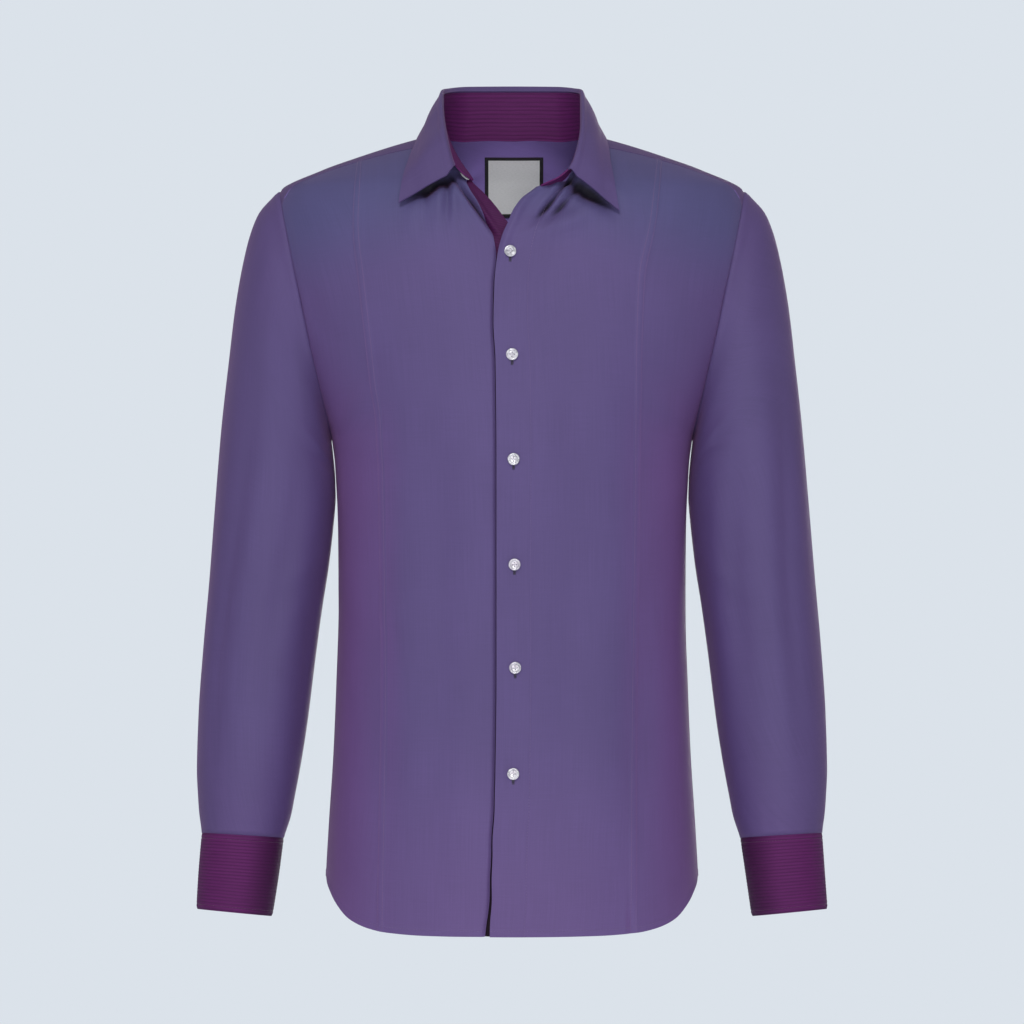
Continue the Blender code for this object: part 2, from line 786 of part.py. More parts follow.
def add_buttons():
    for k, (drift, height) in enumerate(FRONT_BUTTONS):
        seat, outward = seat_on(body, turn_at(drift, height), height, 5, 8, 1, CLOTH / 2 + BUTTON_SEAT)
        add_button(f"front_button_{k + 1}", seat, outward)
    seat, outward = seat_on(stand, COLLAR_BUTTON_PLACE, 0.3, 0.02, 0.2, -1, FUSED / 2 + SEAM)
    add_button("collar_button", seat, outward)
    for name, side in SIDES.items():
        def surface(turn, down):
            return cuff(side, down, turn, FUSED + OVERLAY)

        turn = CUFF_OPENING + CUFF_BUTTON_TURN
        seat, outward = seat_on(surface, turn, 0.5, 8, 0.3, side, FUSED / 2 + SEAM)
        add_button(f"cuff_button_{name}", seat, outward)


# ---------------------------------------------------------------- the shirt

for old in list(bpy.data.objects):
    bpy.data.objects.remove(old)

SHIRT = bpy.data.collections.new("shirt")
bpy.context.scene.collection.children.link(SHIRT)

add_centre_front("front_left_centre", 1, "upper_edge", no_lift)
add_centre_front("front_right_centre", -1, "stand_seam", under_layer)
add_side_front("front_left_side", 1)
add_side_front("front_right_side", -1)
add_button_stand()
add_back()
add_yoke()
for side_name, side_sign in SIDES.items():
    add_sleeve(f"sleeve_{side_name}", side_sign)
    add_placket(f"sleeve_placket_{side_name}", side_sign)
    add_cuff(f"cuff_{side_name}", side_sign)
add_stand()
add_leaf()
add_label()
add_buttons()
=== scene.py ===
# %% [markdown]
# # A two-tone shirt, filled out as if someone wore it
# The solids of this shirt are already fixed: panels, yoke, sleeves, cuffs, collar and
# buttons, each a plain wall of cloth. This file dresses them. Every piece of cloth is made
# again as a finer, thinner shell on the same form, with its folds, seams, ribs and stitches,
# and gets a finish that looks like the real material. The solids could also be subdivided,
# but a shell made from the garment's own curves can carry folds and seams exactly where a
# tailor has them.

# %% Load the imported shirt
import math

import bmesh
import bpy
import numpy as np
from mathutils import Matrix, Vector
from mathutils.bvhtree import BVHTree


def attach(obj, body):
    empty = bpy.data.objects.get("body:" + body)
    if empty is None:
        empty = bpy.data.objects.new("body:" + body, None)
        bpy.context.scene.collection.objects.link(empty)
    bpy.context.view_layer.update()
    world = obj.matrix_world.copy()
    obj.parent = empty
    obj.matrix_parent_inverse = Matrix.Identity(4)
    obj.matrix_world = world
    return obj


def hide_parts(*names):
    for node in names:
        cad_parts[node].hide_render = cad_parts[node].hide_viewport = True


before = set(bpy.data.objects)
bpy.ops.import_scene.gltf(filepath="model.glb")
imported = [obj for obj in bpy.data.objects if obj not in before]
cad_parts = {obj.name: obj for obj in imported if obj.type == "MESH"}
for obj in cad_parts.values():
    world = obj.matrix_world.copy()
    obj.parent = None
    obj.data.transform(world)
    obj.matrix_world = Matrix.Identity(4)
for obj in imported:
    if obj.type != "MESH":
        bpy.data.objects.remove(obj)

for default in ("Cube", "Light", "Camera"):
    if default in bpy.data.objects:
        bpy.data.objects.remove(bpy.data.objects[default])

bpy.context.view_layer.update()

# %% [markdown]
# ## Sizes
# The shirt's form is a handful of tables, in millimetres, in the frame of the solids: the
# origin is the middle of the neck, +Z is up, the fronts face -Y and the wearer's left is
# +X. A table read with straight lines between its rows would leave kinks in the cloth, and
# a common spline would swing past the rows. A monotone cubic does neither.

# %% Smooth tables
MM = 0.001


def curve(keys, values):
    """A smooth function through the rows that never swings past them."""
    step = np.diff(keys)
    slope = np.diff(values) / step
    before, after = slope[:-1], slope[1:]
    weight, other = step[1:] + 2 * step[:-1], 2 * step[1:] + step[:-1]
    tangent = np.concatenate([slope[:1], np.zeros(len(keys) - 2), slope[-1:]])
    same_way = before * after > 0
    steady = np.where(same_way, weight * after + other * before, 1)
    tangent[1:-1] = np.where(same_way, (weight + other) * before * after / steady, 0)

    def at(key):
        key = np.clip(key, keys[0], keys[-1])
        i = np.clip(np.searchsorted(keys, key, side="right") - 1, 0, len(step) - 1)
        t = (key - keys[i]) / step[i]
        rise = values[i + 1] - values[i]
        start, end = tangent[i] * step[i], tangent[i + 1] * step[i]
        return (values[i] + t * start + t * t * (3 * rise - 2 * start - end)
                + t ** 3 * (start + end - 2 * rise))

    return at


def profile(columns, *rows):
    """A table whose columns become smooth functions of its first one."""
    names = columns.split()
    data = np.array(sorted(rows), float)
    return {name: curve(data[:, 0], data[:, k]) for k, name in enumerate(names) if k}


def points_along(at, keys, points):
    """A line of points read at other keys, straight between its own."""
    return np.stack([np.interp(at, keys, points[:, k]) for k in range(3)], axis=1)


print("tables are read with monotone cubics")

# %% The body's sections: half width, and depth to the front and to the back
TORSO = profile(
    "height side front back",
    (22, 40, 8, 50),
    (14, 56, 15, 60),
    (9, 70, 21, 66),
    (4, 88, 28, 72),
    (-3, 112, 37, 79),
    (-14, 145, 52, 88),
    (-25, 175, 66, 96),
    (-44, 213, 84, 106),
    (-65, 220.5, 94, 113),
    (-90, 222.5, 101, 120),
    (-120, 219, 107, 125),
    (-157, 210, 114, 128),
    (-190, 197, 118, 128),
    (-220, 184, 120.5, 127),
    (-250, 171.5, 122, 125),
    (-270, 165, 122, 124),
    (-300, 161.5, 121, 120),
    (-340, 160, 118, 116),
    (-423, 159.3, 112, 110),
    (-500, 161.5, 111, 111),
    (-560, 164, 113, 116),
    (-630, 168.5, 116, 122),
    (-676, 170.8, 118, 124),
    (-740, 171.5, 119, 125))

# the hem's height by turn: 0 is the centre front, 90 the side seam, 180 the centre back
HEM = profile(
    "turn height",
    (0, -714), (25, -714), (38, -713), (46, -710.8), (57, -704.5), (68, -692), (77, -681),
    (90, -672), (103, -682), (112, -694), (123, -709), (134, -719), (146, -724), (180, -727))

# distance from the centre of the seam that shapes each front
PRINCESS = profile(
    "height right left",
    (-22, 141, 136),
    (-80, 143, 129),
    (-130, 138, 119),
    (-180, 132, 116.5),
    (-216, 128, 115.6),
    (-258, 122, 115),
    (-330, 119, 114),
    (-450, 118, 113),
    (-728, 121, 111))

# the closing, across the centre: the upper front's edge, the seam of the
# button stand on the under front, and the stand's own free edge
CLOSING = profile(
    "height upper_edge stand_seam stand_edge",
    (-24, 40, -46, -43),
    (-41, 29, -41.5, -35),
    (-50, 19.5, -37.5, -26.5),
    (-59, 8, -32, -18.5),
    (-71, 0, -26, -9.5),
    (-80, -3.5, -22.5, -3),
    (-93, -9, -16.5, 5),
    (-110, -13, -14.2, 11),
    (-134, -15.6, -16.5, 14),
    (-170, -16.4, -17.2, 15),
    (-205, -14.6, -15.4, 15.5),
    (-290, -13.8, -14.6, 16),
    (-480, -13.8, -14.6, 16),
    (-570, -14.8, -15.7, 15.5),
    (-640, -17.2, -18.6, 14.5),
    (-690, -18.6, -21.2, 14.0),
    (-728, -20.2, -26, 13.5))

# %% The collar, from the right front end (-1) round the neck to the left front end (1)
STAND = profile(
    "place neck_x neck_y top_x top_y top_z",
    (-1.0, -35, -81, -45, -89, -35),
    (-0.945, -40, -73, -51, -82, -26.5),
    (-0.85, -47, -61, -58, -63, -1),
    (-0.727, -60, -45, -61.5, -40, 18),
    (-0.615, -69, -25, -63, -20, 32),
    (-0.473, -72, 5, -63.5, 8, 46),
    (-0.328, -62, 35, -55, 36, 52),
    (-0.198, -42, 55, -39, 51, 54.5),
    (0.0, 0, 64, 0, 59, 55.5),
    (0.188, 42, 55, 39, 51, 54.5),
    (0.312, 62, 35, 55, 36, 52),
    (0.45, 72, 5, 63.5, 8, 46),
    (0.598, 69, -27, 63, -22, 30),
    (0.747, 60, -55, 62, -54, 8),
    (0.885, 46, -80, 54, -89, -26),
    (0.95, 35, -84, 41.5, -94.5, -39.5),
    (1.0, 24, -86, 27, -92, -45.5))

LEAF = profile(
    "place crest_x crest_y crest_z edge_x edge_y edge_z",
    (-0.95, -52.5, -94, -35, -102, -93, -62),
    (-0.85, -60.5, -70, 2, -99.5, -82, -42),
    (-0.727, -63, -42, 22, -92.5, -56, -18),
    (-0.615, -64.5, -21, 37, -87.5, -33, -3),
    (-0.473, -64, 8, 49.5, -84.5, 4, 8),
    (-0.328, -58, 40, 55.5, -74, 44, 7.5),
    (-0.198, -42, 57, 59.5, -51, 67, 8),
    (0.0, 0, 65, 61, 0, 75, 8.5),
    (0.188, 42, 57, 59.5, 51, 67, 8),
    (0.312, 58, 40, 55.5, 74, 44, 7.5),
    (0.45, 64, 8, 49.5, 84.5, 4, 8),
    (0.598, 64, -22, 36, 87, -33, -3),
    (0.747, 63.5, -55, 13, 88, -60, -18.5),
    (0.86, 59, -84, -16, 92.5, -84.5, -44),
    (0.915, 52.5, -97, -35, 96.5, -94, -69))
LEAF_ENDS = (-0.95, 0.915)

# %% The sleeves' rings and the cuffs: edges seen from the front, depths, and swing forward
SLEEVE = profile(
    "ring out_x out_z in_x in_z front back forward",
    (0, 214.1, -44.4, 166.7, -270.4, 55, 61, 0),
    (1, 222.5, -52, 166.3, -275, 56, 61, 0),
    (2, 232, -63, 165.6, -281, 57, 61, 0),
    (3, 240, -82, 164.9, -288, 58, 60.5, 0),
    (4, 247, -110, 164, -296, 58.5, 60, 0),
    (5, 254, -150, 163.3, -304, 59, 60, 0),
    (6, 260, -200, 162.9, -313, 59, 59.5, 0),
    (7, 267, -262, 162.6, -326, 58.5, 58.5, 0),
    (8, 273, -335, 168, -382, 57, 57, 2),
    (9, 278, -400, 174.5, -425, 56, 56, 4),
    (10, 283, -460, 180.5, -470, 55, 55, 7),
    (11, 286.8, -522, 188, -532, 52.5, 52.5, 12),
    (12, 287.8, -572, 196, -582, 48.5, 48.5, 17),
    (13, 285, -609.4, 203, -615, 42.5, 42.5, 20),
    (14, 282.6, -630.8, 209, -635.2, 38, 38, 22))

CUFF = profile(
    "down out_x out_z in_x in_z depth forward",
    (0, 282.6, -631.4, 209.2, -635.8, 38, 22),
    (1, 287.1, -699.8, 219.2, -706.4, 35.5, 27))
LAST_RING = 14           # the sleeve's ring at its cuff
SIDES = {"right": -1, "left": 1}
SHOULDER_POINT = (213.0, -44.0)      # half width and height of the armhole's top
UNDERARM_POINT = (165.0, -270.0)     # and of its lowest point
YOKE_FORWARD = 31.0
YOKE_BACK = -97.0
CUFF_TILT = 4.3          # the front of a cuff is this much higher than its middle
ROUNDNESS = 2.2
print("sleeve from", SHOULDER_POINT, "to a cuff that ends at", CUFF["out_z"](1.0))

# %% [markdown]
# ## The body as one surface
# A shirt body is cut in panels, but on the wearer it is one smooth form. Each panel could
# be modelled alone and then matched to its neighbours at the seams. It is easier to write
# the form once, as a function of a turn round the body and a height, and to let each panel
# be a patch of it. Whole arrays of points go through at once, so a fine mesh costs little.

# %% Points of the body


def mix(a, b, t):
    return a + (b - a) * t


def smooth(t):
    """A soft step: 0 up to t = 0, 1 from t = 1 on."""
    t = np.clip(t, 0.0, 1.0)
    return t * t * (3 - 2 * t)


def signed_power(value, exponent):
    return np.sign(value) * np.abs(value) ** exponent


def solve(function, low, high):
    """Where a steadily changing function passes zero, for a whole array at once."""
    low, high = np.array(low, float), np.array(high, float)
    rising = function(high) > function(low)
    for _ in range(36):
        middle = (low + high) / 2
        beyond = (function(middle) > 0) == rising
        low, high = np.where(beyond, low, middle), np.where(beyond, middle, high)
    return (low + high) / 2


def point(x, y, z):
    return np.stack(np.broadcast_arrays(x, y, z), axis=-1).astype(float)


def unit(vectors):
    length = np.linalg.norm(vectors, axis=-1, keepdims=True)
    return vectors / np.maximum(length, 1e-9)


def body(turn, height):
    """Points of the body: turn is 0 at the centre front and 90 degrees at the left side."""
    angle = np.radians(turn)
    depth = np.where(np.cos(angle) > 0, TORSO["front"](height), TORSO["back"](height))
    x = TORSO["side"](height) * signed_power(np.sin(angle), 2 / ROUNDNESS)
    y = -depth * signed_power(np.cos(angle), 2 / ROUNDNESS)
    return point(x, y, height)


def outward(turn, height):
    """The direction straight out of the body."""
    across = body(turn + 1.5, height) - body(turn - 1.5, height)
    upward = body(turn, height + 1.5) - body(turn, height - 1.5)
    return unit(np.cross(across, upward))


def turn_at(x, height):
    """The turn of the front's point at a distance x from the centre."""
    share = np.minimum(np.abs(x) / TORSO["side"](height), 1.0)
    return np.sign(x) * np.degrees(np.arcsin(share ** (ROUNDNESS / 2)))


def over(x, y):
    """Height and turn of the surface straight over points of the plan."""
    x, y = np.asarray(x, float), np.asarray(y, float)

    def parts(height):
        depth = np.where(y < 0, TORSO["front"](height), TORSO["back"](height))
        return np.abs(x) / TORSO["side"](height), np.abs(y) / depth

    def outside(height):
        wide, deep = parts(height)
        return wide ** ROUNDNESS + deep ** ROUNDNESS - 1

    height = solve(outside, np.full(x.shape, -90.0), np.full(x.shape, 22.0))
    wide, deep = parts(height)
    sine = np.copysign(wide ** (ROUNDNESS / 2), x)
    cosine = np.copysign(deep ** (ROUNDNESS / 2), -y)
    return height, np.degrees(np.arctan2(sine, cosine))


print("chest half width", TORSO["side"](-120.0), "waist half width", TORSO["side"](-423.0))

# %% Where the seams and edges run


def armhole_turn(height):
    """The turn where the front meets the armhole, or the side seam below it."""
    (top_x, top_z), (low_x, low_z) = SHOULDER_POINT, UNDERARM_POINT
    along = (height - low_z) / (top_z - low_z)
    return np.where(height <= low_z, 90.0, turn_at(mix(low_x, top_x, along), height))


def hem(turn):
    return HEM["height"](np.minimum(np.abs(turn), 360 - np.abs(turn)))


def neck(place):
    """Height and turn of the neck seam."""
    return over(STAND["neck_x"](place), STAND["neck_y"](place))


def neck_corner(side):
    """The place where the yoke's front seam reaches the neck."""
    return side * solve(lambda p: STAND["neck_y"](side * p) + YOKE_FORWARD, 0.45, 0.8)


def yoke_front(turn):
    """Height of the yoke's front seam, which keeps one distance from the ridge."""
    shape = np.shape(turn)
    return solve(lambda h: body(turn, h)[..., 1] + YOKE_FORWARD,
                 np.full(shape, -75.0), np.full(shape, 8.0))


YOKE_END = solve(lambda h: body(armhole_turn(h), h)[..., 1] + YOKE_FORWARD, -75.0, -45.0)


def princess_top(name):
    """Height where the shaping seam runs into the yoke."""
    return solve(lambda h: h - yoke_front(turn_at(PRINCESS[name](h), h)), -60.0, -16.0)


PRINCESS_TOP = {name: princess_top(name) for name in SIDES}


def princess_turn(side):
    name = "right" if side < 0 else "left"

    def turn(height):
        height = np.minimum(height, PRINCESS_TOP[name])
        return turn_at(side * PRINCESS[name](height), height)

    return turn


def edge_turn(column, side):
    """The turn of a closing edge, held at its top value above the neck seam."""
    end_height = neck(side)[0]

    def turn(height):
        height = np.minimum(height, end_height)
        sway = 0.55 * np.sin(height / 8.5) * np.sin(height / 23.0) * smooth((-560 - height) / 70)
        return turn_at(CLOSING[column](height) + sway, height)

    return turn


def side_edge(side):
    """The outer edge of a front: its side seam, then the armhole up to the yoke."""
    return lambda height: side * armhole_turn(np.minimum(height, YOKE_END))


print("yoke ends at", round(float(YOKE_END), 1), "princess tops", PRINCESS_TOP)

# %% [markdown]
# ## Folds
# Worn cloth is never quite even. It drags from the underarm, sinks beside the collar, and
# hangs in long soft rolls. A cloth simulation could find such folds, but it would not put
# them where this shirt has them, and it takes minutes. Here each fold is a row in a table:
# where it starts and ends, how wide and how deep it is, and how far it bows. A positive
# depth is a ridge and a negative one a trough. Each one fades at both ends, and a ridge has
# a faint trough on either side, as real folds do.

# %% Soft folds from a table


def fold_table(columns, *rows):
    names = columns.split()
    return [dict(zip(names, row)) for row in rows]


def relief(folds, across, along):
    """How far each point stands out, with across and along in millimetres."""
    total = np.zeros(np.broadcast(across, along).shape)
    for fold in folds:
        run = np.array([fold["to_a"] - fold["from_a"], fold["to_b"] - fold["from_b"]], float)
        length = np.hypot(*run)
        a, b = across - fold["from_a"], along - fold["from_b"]
        t = (a * run[0] + b * run[1]) / length ** 2
        aside = (a * run[1] - b * run[0]) / length - fold["bow"] * 4 * t * (1 - t)
        inside = np.clip(t, 0, 1)
        fade = np.sin(np.pi * inside ** fold["skew"]) ** 1.4
        reach = aside / fold["width"]
        shape = np.exp(-reach ** 2) - 0.22 * np.exp(-(np.abs(reach) - 2.1) ** 2)
        total += fold["depth"] * np.where((t > 0) & (t < 1), fade, 0) * shape
    return total


FOLD_COLUMNS = "from_a from_b to_a to_b width depth bow skew"

# the fronts: across is x and along is height
FRONT_FOLDS = fold_table(
    FOLD_COLUMNS,
    # gathers below the right end of the collar
    (-74, -38, -80, -88, 3.4, -2.4, 1, 0.6),
    (-66, -38, -70, -96, 3.2, 1.6, -2, 0.6),
    (-58, -36, -60, -90, 2.8, -3.0, -1, 0.6),
    (-50, -38, -48, -96, 3.0, 1.4, 2, 0.6),
    (-88, -52, -92, -98, 6.0, 1.0, 0, 0.8),
    # hollows in the shade of the collar's two front corners
    (-106, -62, -38, -26, 7.0, -8.5, 0, 1.0),
    (34, -26, 102, -74, 7.0, -9.0, 0, 1.0),
    # the groove beside the button stand
    (-60, -26, -8, -101, 2.0, -6.6, 0, 1.0),
    (-50, -32, -10, -92, 2.2, 1.4, 0, 1.0),
    # folds from the first button up to the left end of the collar
    (12, -88, 66, -18, 2.2, -5.2, 1, 1.0),
    (26, -86, 68, -32, 2.6, -3.0, 1, 1.0),
    (-4, -92, 82, -62, 8.0, 3.2, 5, 1.0),
    (4, -76, 78, -48, 10.0, -3.4, 3, 1.0),
    # the turn of the cloth over the chest and past the waist
    (-100, -170, -92, -640, 21, 1.7, 4, 0.8),
    (-62, -240, -66, -560, 17, -1.3, -3, 1.0),
    (-36, -420, -40, -712, 15, 0.9, 2, 1.3),
    (88, -150, 94, -600, 22, 1.6, -5, 0.9),
    (54, -300, 48, -690, 18, -1.2, 4, 1.1),
    (28, -150, 32, -360, 14, 0.9, 3, 1.0),
    (-128, -330, -112, -660, 12, -1.1, -3, 1.0),
    (130, -320, 116, -650, 13, -1.2, 4, 1.1),
    # drags from the underarms and at the waist
    (-160, -262, -96, -216, 9, 0.8, -5, 0.7),
    (-158, -286, -84, -300, 11, -0.7, 6, 0.7),
    (160, -264, 100, -222, 9, 0.8, 5, 0.7),
    (158, -290, 90, -312, 12, -0.7, -6, 0.7),
    (-158, -392, -70, -452, 13, 0.8, 7, 0.8),
    (158, -410, 84, -470, 14, 0.7, -8, 0.8),
    (-196, -120, -150, -196, 11, -0.8, 4, 0.8),
    (198, -118, 156, -190, 12, -0.8, -4, 0.8),
    # little pulls at the hem and below two of the buttons
    (106, -676, 107, -722, 3.2, -1.3, 0, 1.5),
    (-2, -120, 20, -136, 6, 0.6, 1, 0.8),
    (-8, -300, 24, -308, 6, 0.4, 1, 0.8))

# the back: looser, with long rolls between the shoulder blades and folds at the waist
BACK_FOLDS = fold_table(
    FOLD_COLUMNS,
    (-52, -110, -44, -560, 19, 2.4, 5, 0.9),
    (56, -112, 50, -600, 20, 2.2, -6, 0.9),
    (4, -150, -3, -520, 17, -1.8, 3, 1.0),
    (-96, -140, -84, -600, 18, -1.9, -4, 0.9),
    (98, -138, 92, -560, 17, -1.8, 5, 0.9),
    (-140, -296, -18, -404, 12, 2.1, 9, 0.8),
    (-150, -352, -8, -446, 11, -1.7, 8, 0.8),
    (138, -308, 24, -420, 12, 1.9, -9, 0.8),
    (150, -366, 30, -462, 12, -1.6, -7, 0.8),
    (-120, -440, 52, -470, 13, 1.4, -8, 1.0),
    (-60, -520, -66, -716, 17, 1.6, 3, 1.3),
    (30, -500, 36, -718, 18, 1.4, -3, 1.3),
    (-158, -268, -96, -206, 9, 1.7, -5, 0.7),
    (160, -266, 100, -210, 9, 1.6, 5, 0.7),
    (-186, -150, -146, -226, 11, -1.5, 4, 0.8),
    (188, -146, 150, -232, 11, -1.5, -4, 0.8),
    (-120, -60, -40, -26, 9, 1.0, 4, 0.8),
    (112, -64, 34, -30, 9, 0.9, -4, 0.8),
    (-30, -40, -62, -22, 6, 0.6, 2, 0.8),
    (-26, -12, -52, -34, 3.6, -0.8, 1, 0.9),
    (-27, -22, -46, -44, 3.8, 0.6, -1, 0.9),
    (34, -14, 58, -36, 4.4, -0.7, 1, 0.9))


def body_relief(turn, height):
    """The folds of the body, front and back."""
    spot = body(turn, height)
    front = smooth(0.5 - spot[..., 1] / 40)
    out = front * relief(FRONT_FOLDS, spot[..., 0], spot[..., 2])
    slack = smooth((-300 - spot[..., 2]) / 60) * smooth(np.abs(spot[..., 0]) / 40 - 3)
    return out + (1 - front) * relief(BACK_FOLDS, spot[..., 0], spot[..., 2]) - 0.7 * slack


def worn(turn, height, out=0.0):
    """Points of the body with its folds, moved a little further out if asked."""
    stand_out = (body_relief(turn, height) + out)[..., None]
    return body(turn, height) + outward(turn, height) * stand_out


print("folds:", len(FRONT_FOLDS), "in front and", len(BACK_FOLDS), "behind")

# %% [markdown]
# ## From points to cloth
# A grid of points becomes a sheet, and a Solidify modifier gives the sheet its wall. The
# cloth also needs to know its grain: its threads run down the garment, not along world
# axes. The usual answer is an unwrap, but a grid already has rows and columns, so its UV map
# can simply be the distance walked along them, in metres. A pattern in the finish then has
# a real size on every piece.

# %% Build a sheet
CLOTH_WALL = 0.8         # what shows of the cloth is thinner than its collision wall
FUSED_WALL = 1.3         # the cuffs and the collar stand are stiffened
LEAF_WALL = 1.4
LABEL_WALL = 0.5
CLOTH_EDGE, FUSED_EDGE, LEAF_EDGE, LABEL_EDGE = 0.28, 0.4, 0.5, 0.12    # how round each is
made = {}


def grid_faces(columns, rows):
    i, j = np.meshgrid(np.arange(columns - 1), np.arange(rows - 1), indexing="ij")
    corner = (i * rows + j).ravel()
    return np.stack([corner, corner + rows, corner + rows + 1, corner + 1], axis=1)


def walked(points, axis):
    """The distance along a grid's rows or columns."""
    step = np.linalg.norm(np.diff(points, axis=axis), axis=-1)
    start = np.zeros_like(np.take(step, [0], axis=axis))
    return np.cumsum(np.concatenate([start, step], axis=axis), axis=axis)


def new_object(name, vertices, faces):
    mesh = bpy.data.meshes.new(name)
    mesh.from_pydata([tuple(v) for v in vertices], [], [tuple(f) for f in faces])
    mesh.shade_smooth()
    result = bpy.data.objects.new(name, mesh)
    bpy.context.scene.collection.objects.link(result)
    return result


def grain_map(obj, u, v):
    """A UV map in metres: u across the cloth and v down it."""
    layer = obj.data.uv_layers.new(name="grain")
    corners = np.empty(len(obj.data.loops), int)
    obj.data.loops.foreach_get("vertex_index", corners)
    at = np.stack([u.ravel()[corners], v.ravel()[corners]], axis=1) * MM
    layer.uv.foreach_set("vector", at.astype(np.float32).ravel())


def distance_to_solid(obj, node):
    """The furthest that a piece lies from its solid, in millimetres, over every 40th point."""
    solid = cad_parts[node]
    tree = BVHTree.FromPolygons([v.co for v in solid.data.vertices],
                                [tuple(p.vertices) for p in solid.data.polygons])
    some = [v.co for v in obj.data.vertices][::40]
    return max(tree.find_nearest(co)[3] for co in some) / MM


def finish_piece(obj, node, finish):
    """Every piece rides on the shirt, stands for its solid and has a finish."""
    obj.data.materials.append(finish)
    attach(obj, "root")
    if node:
        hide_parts(node)
    made[obj.name] = obj


def give_wall(obj, wall, even):
    """Thicken cloth by half its wall to each side."""
    solidify = obj.modifiers.new("wall", "SOLIDIFY")
    solidify.thickness = wall * MM
    solidify.offset = 0
    solidify.use_even_offset = even


def finish_cloth(obj, points, finish):
    """Finish cloth that stands for the solid it is named after."""
    solid_name = obj.name.removesuffix("_cloth")
    finish_piece(obj, solid_name, finish)
    columns, rows = points.shape[:2]
    print(f"{obj.name}: {columns} by {rows} points, "
          f"at most {distance_to_solid(obj, solid_name):.1f} mm off its solid")


def add_sheet(name, points, finish, wall=CLOTH_WALL, round_edge=CLOTH_EDGE, folds=None):
    """Cloth through a grid of points: columns to the right and rows up, seen from outside."""
    columns, rows = points.shape[:2]
    obj = new_object(name, points.reshape(-1, 3) * MM, grid_faces(columns, rows))
    # the fold depths go with the cloth so its finish can paint shade into deep troughs
    if folds is not None:
        level = obj.data.attributes.new("fold", "FLOAT", "POINT")
        level.data.foreach_set("value", folds.astype(np.float32).ravel())
    along = walked(points, 1)
    grain_map(obj, walked(points, 0), np.broadcast_to(along.mean(axis=0), along.shape))
    give_wall(obj, wall, even=True)
    bevel = obj.modifiers.new("soft edge", "BEVEL")
    bevel.width = round_edge * MM
    bevel.segments = 2
    bevel.limit_method = "ANGLE"
    bevel.angle_limit = math.radians(60)
    bevel.harden_normals = True
    finish_cloth(obj, points, finish)


print("cloth wall", CLOTH_WALL, "mm, fused wall", FUSED_WALL, "mm")

# %% [markdown]
# ## Finishes
# The cloth is shot: its warp is blue and its weft is plum, so it looks bluer where it faces
# forward and redder where it turns away to the side. That change is a sheen that follows the
# light and the eye. A colour that follows the eye would slide about as the shirt is turned.
# Here the sheen is painted into the colour by the cloth's own direction and how high it lies,
# which looks much the same and stays put. The finish also paints light and shade: darker steel
# near the shoulders, lighter towards the hem, darker in deep folds and lighter inside the yoke.
# The sleeves, yoke and collar leaf get lighter or darker copies of it, painted light and shade
# for how they catch the light. Over that lie fine streaks, slubs and a weave, all in real
# sizes through the grain map.

# %% Helpers for finishes


def node(tree, kind, inputs=(), **settings):
    """A shader node; inputs pairs a socket's name or number with a value or another socket."""
    result = tree.nodes.new("ShaderNode" + kind)
    for key, value in settings.items():
        setattr(result, key, value)
    for key, value in dict(inputs).items():
        if isinstance(value, bpy.types.NodeSocket):
            tree.links.new(value, result.inputs[key])
        else:
            result.inputs[key].default_value = value
    return result


def maths(tree, operation, *values):
    return node(tree, "Math", enumerate(values), operation=operation).outputs[0]


def between(tree, value, low, high, start=0.0, end=1.0):
    """The value carried from the range low to high over to start to end, smoothly."""
    inputs = {"Value": value, "From Min": low, "From Max": high, "To Min": start, "To Max": end}
    return node(tree, "MapRange", inputs, interpolation_type="SMOOTHSTEP").outputs[0]


def blend_colours(tree, factor, first, second, mode="MIX"):
    inputs = {0: factor, 6: first, 7: second}
    return node(tree, "Mix", inputs, data_type="RGBA", blend_type=mode).outputs[2]


def grain(tree):
    return node(tree, "UVMap", uv_map="grain").outputs[0]


def grain_noise(tree, across, along, detail=2.0, rough=0.5):
    """Noise whose blotches are so many millimetres across and along the cloth."""
    scale = (1 / (across * MM), 1 / (along * MM), 1)
    place = node(tree, "VectorMath", {0: grain(tree), 1: scale}, operation="MULTIPLY").outputs[0]
    inputs = {"Vector": place, "Scale": 1.0, "Detail": detail, "Roughness": rough}
    return node(tree, "TexNoise", inputs).outputs["Fac"]


def grain_wave(tree, axis, pitch):
    """A wave from 0 to 1 with so many millimetres from crest to crest."""
    along = node(tree, "SeparateXYZ", {0: grain(tree)}).outputs[axis]
    wave = maths(tree, "COSINE", maths(tree, "MULTIPLY", along, 2 * math.pi / (pitch * MM)))
    return maths(tree, "MULTIPLY_ADD", wave, 0.5, 0.5)


def tinted(tree, colour, value):
    """A colour made lighter or darker by a value around 1."""
    level = node(tree, "CombineXYZ", {0: value, 1: value, 2: value}).outputs[0]
    return blend_colours(tree, 1.0, colour, level, "MULTIPLY")


def bump(tree, height, distance, below=None):
    inputs = {"Height": height, "Distance": distance * MM, "Strength": 1.0}
    if below:
        inputs["Normal"] = below
    return node(tree, "Bump", inputs).outputs[0]


def new_finish(name, **constants):
    """A finish, its tree and its shader, with the shader's constants set."""
    result = bpy.data.materials.new(name)
    result.use_nodes = True
    shader = result.node_tree.nodes["Principled BSDF"]
    for key, value in constants.items():
        shader.inputs[key.replace("_", " ")].default_value = value
    return result, result.node_tree, shader


print("finish helpers are ready")

# %% The shot cloth
# painted sheen, light and shade of the shot cloth: blue where it faces forward, plum where it turns
# to the side, a darker steel as painted shade near the shoulders, and a lighter violet as painted
# light towards the hem
WARP_BLUE = (0.091, 0.066, 0.192, 1)
MIDDLE = (0.090, 0.062, 0.180, 1)
WEFT_PLUM = (0.142, 0.072, 0.228, 1)
SLEEVE_PLUM = (0.092, 0.059, 0.182, 1)
SHADED_SHOULDER_STEEL = (0.069, 0.068, 0.176, 1)
LIT_LOW_VIOLET = (0.120, 0.075, 0.216, 1)
WARP_PITCH = 0.42
WEFT_PITCH = 0.38


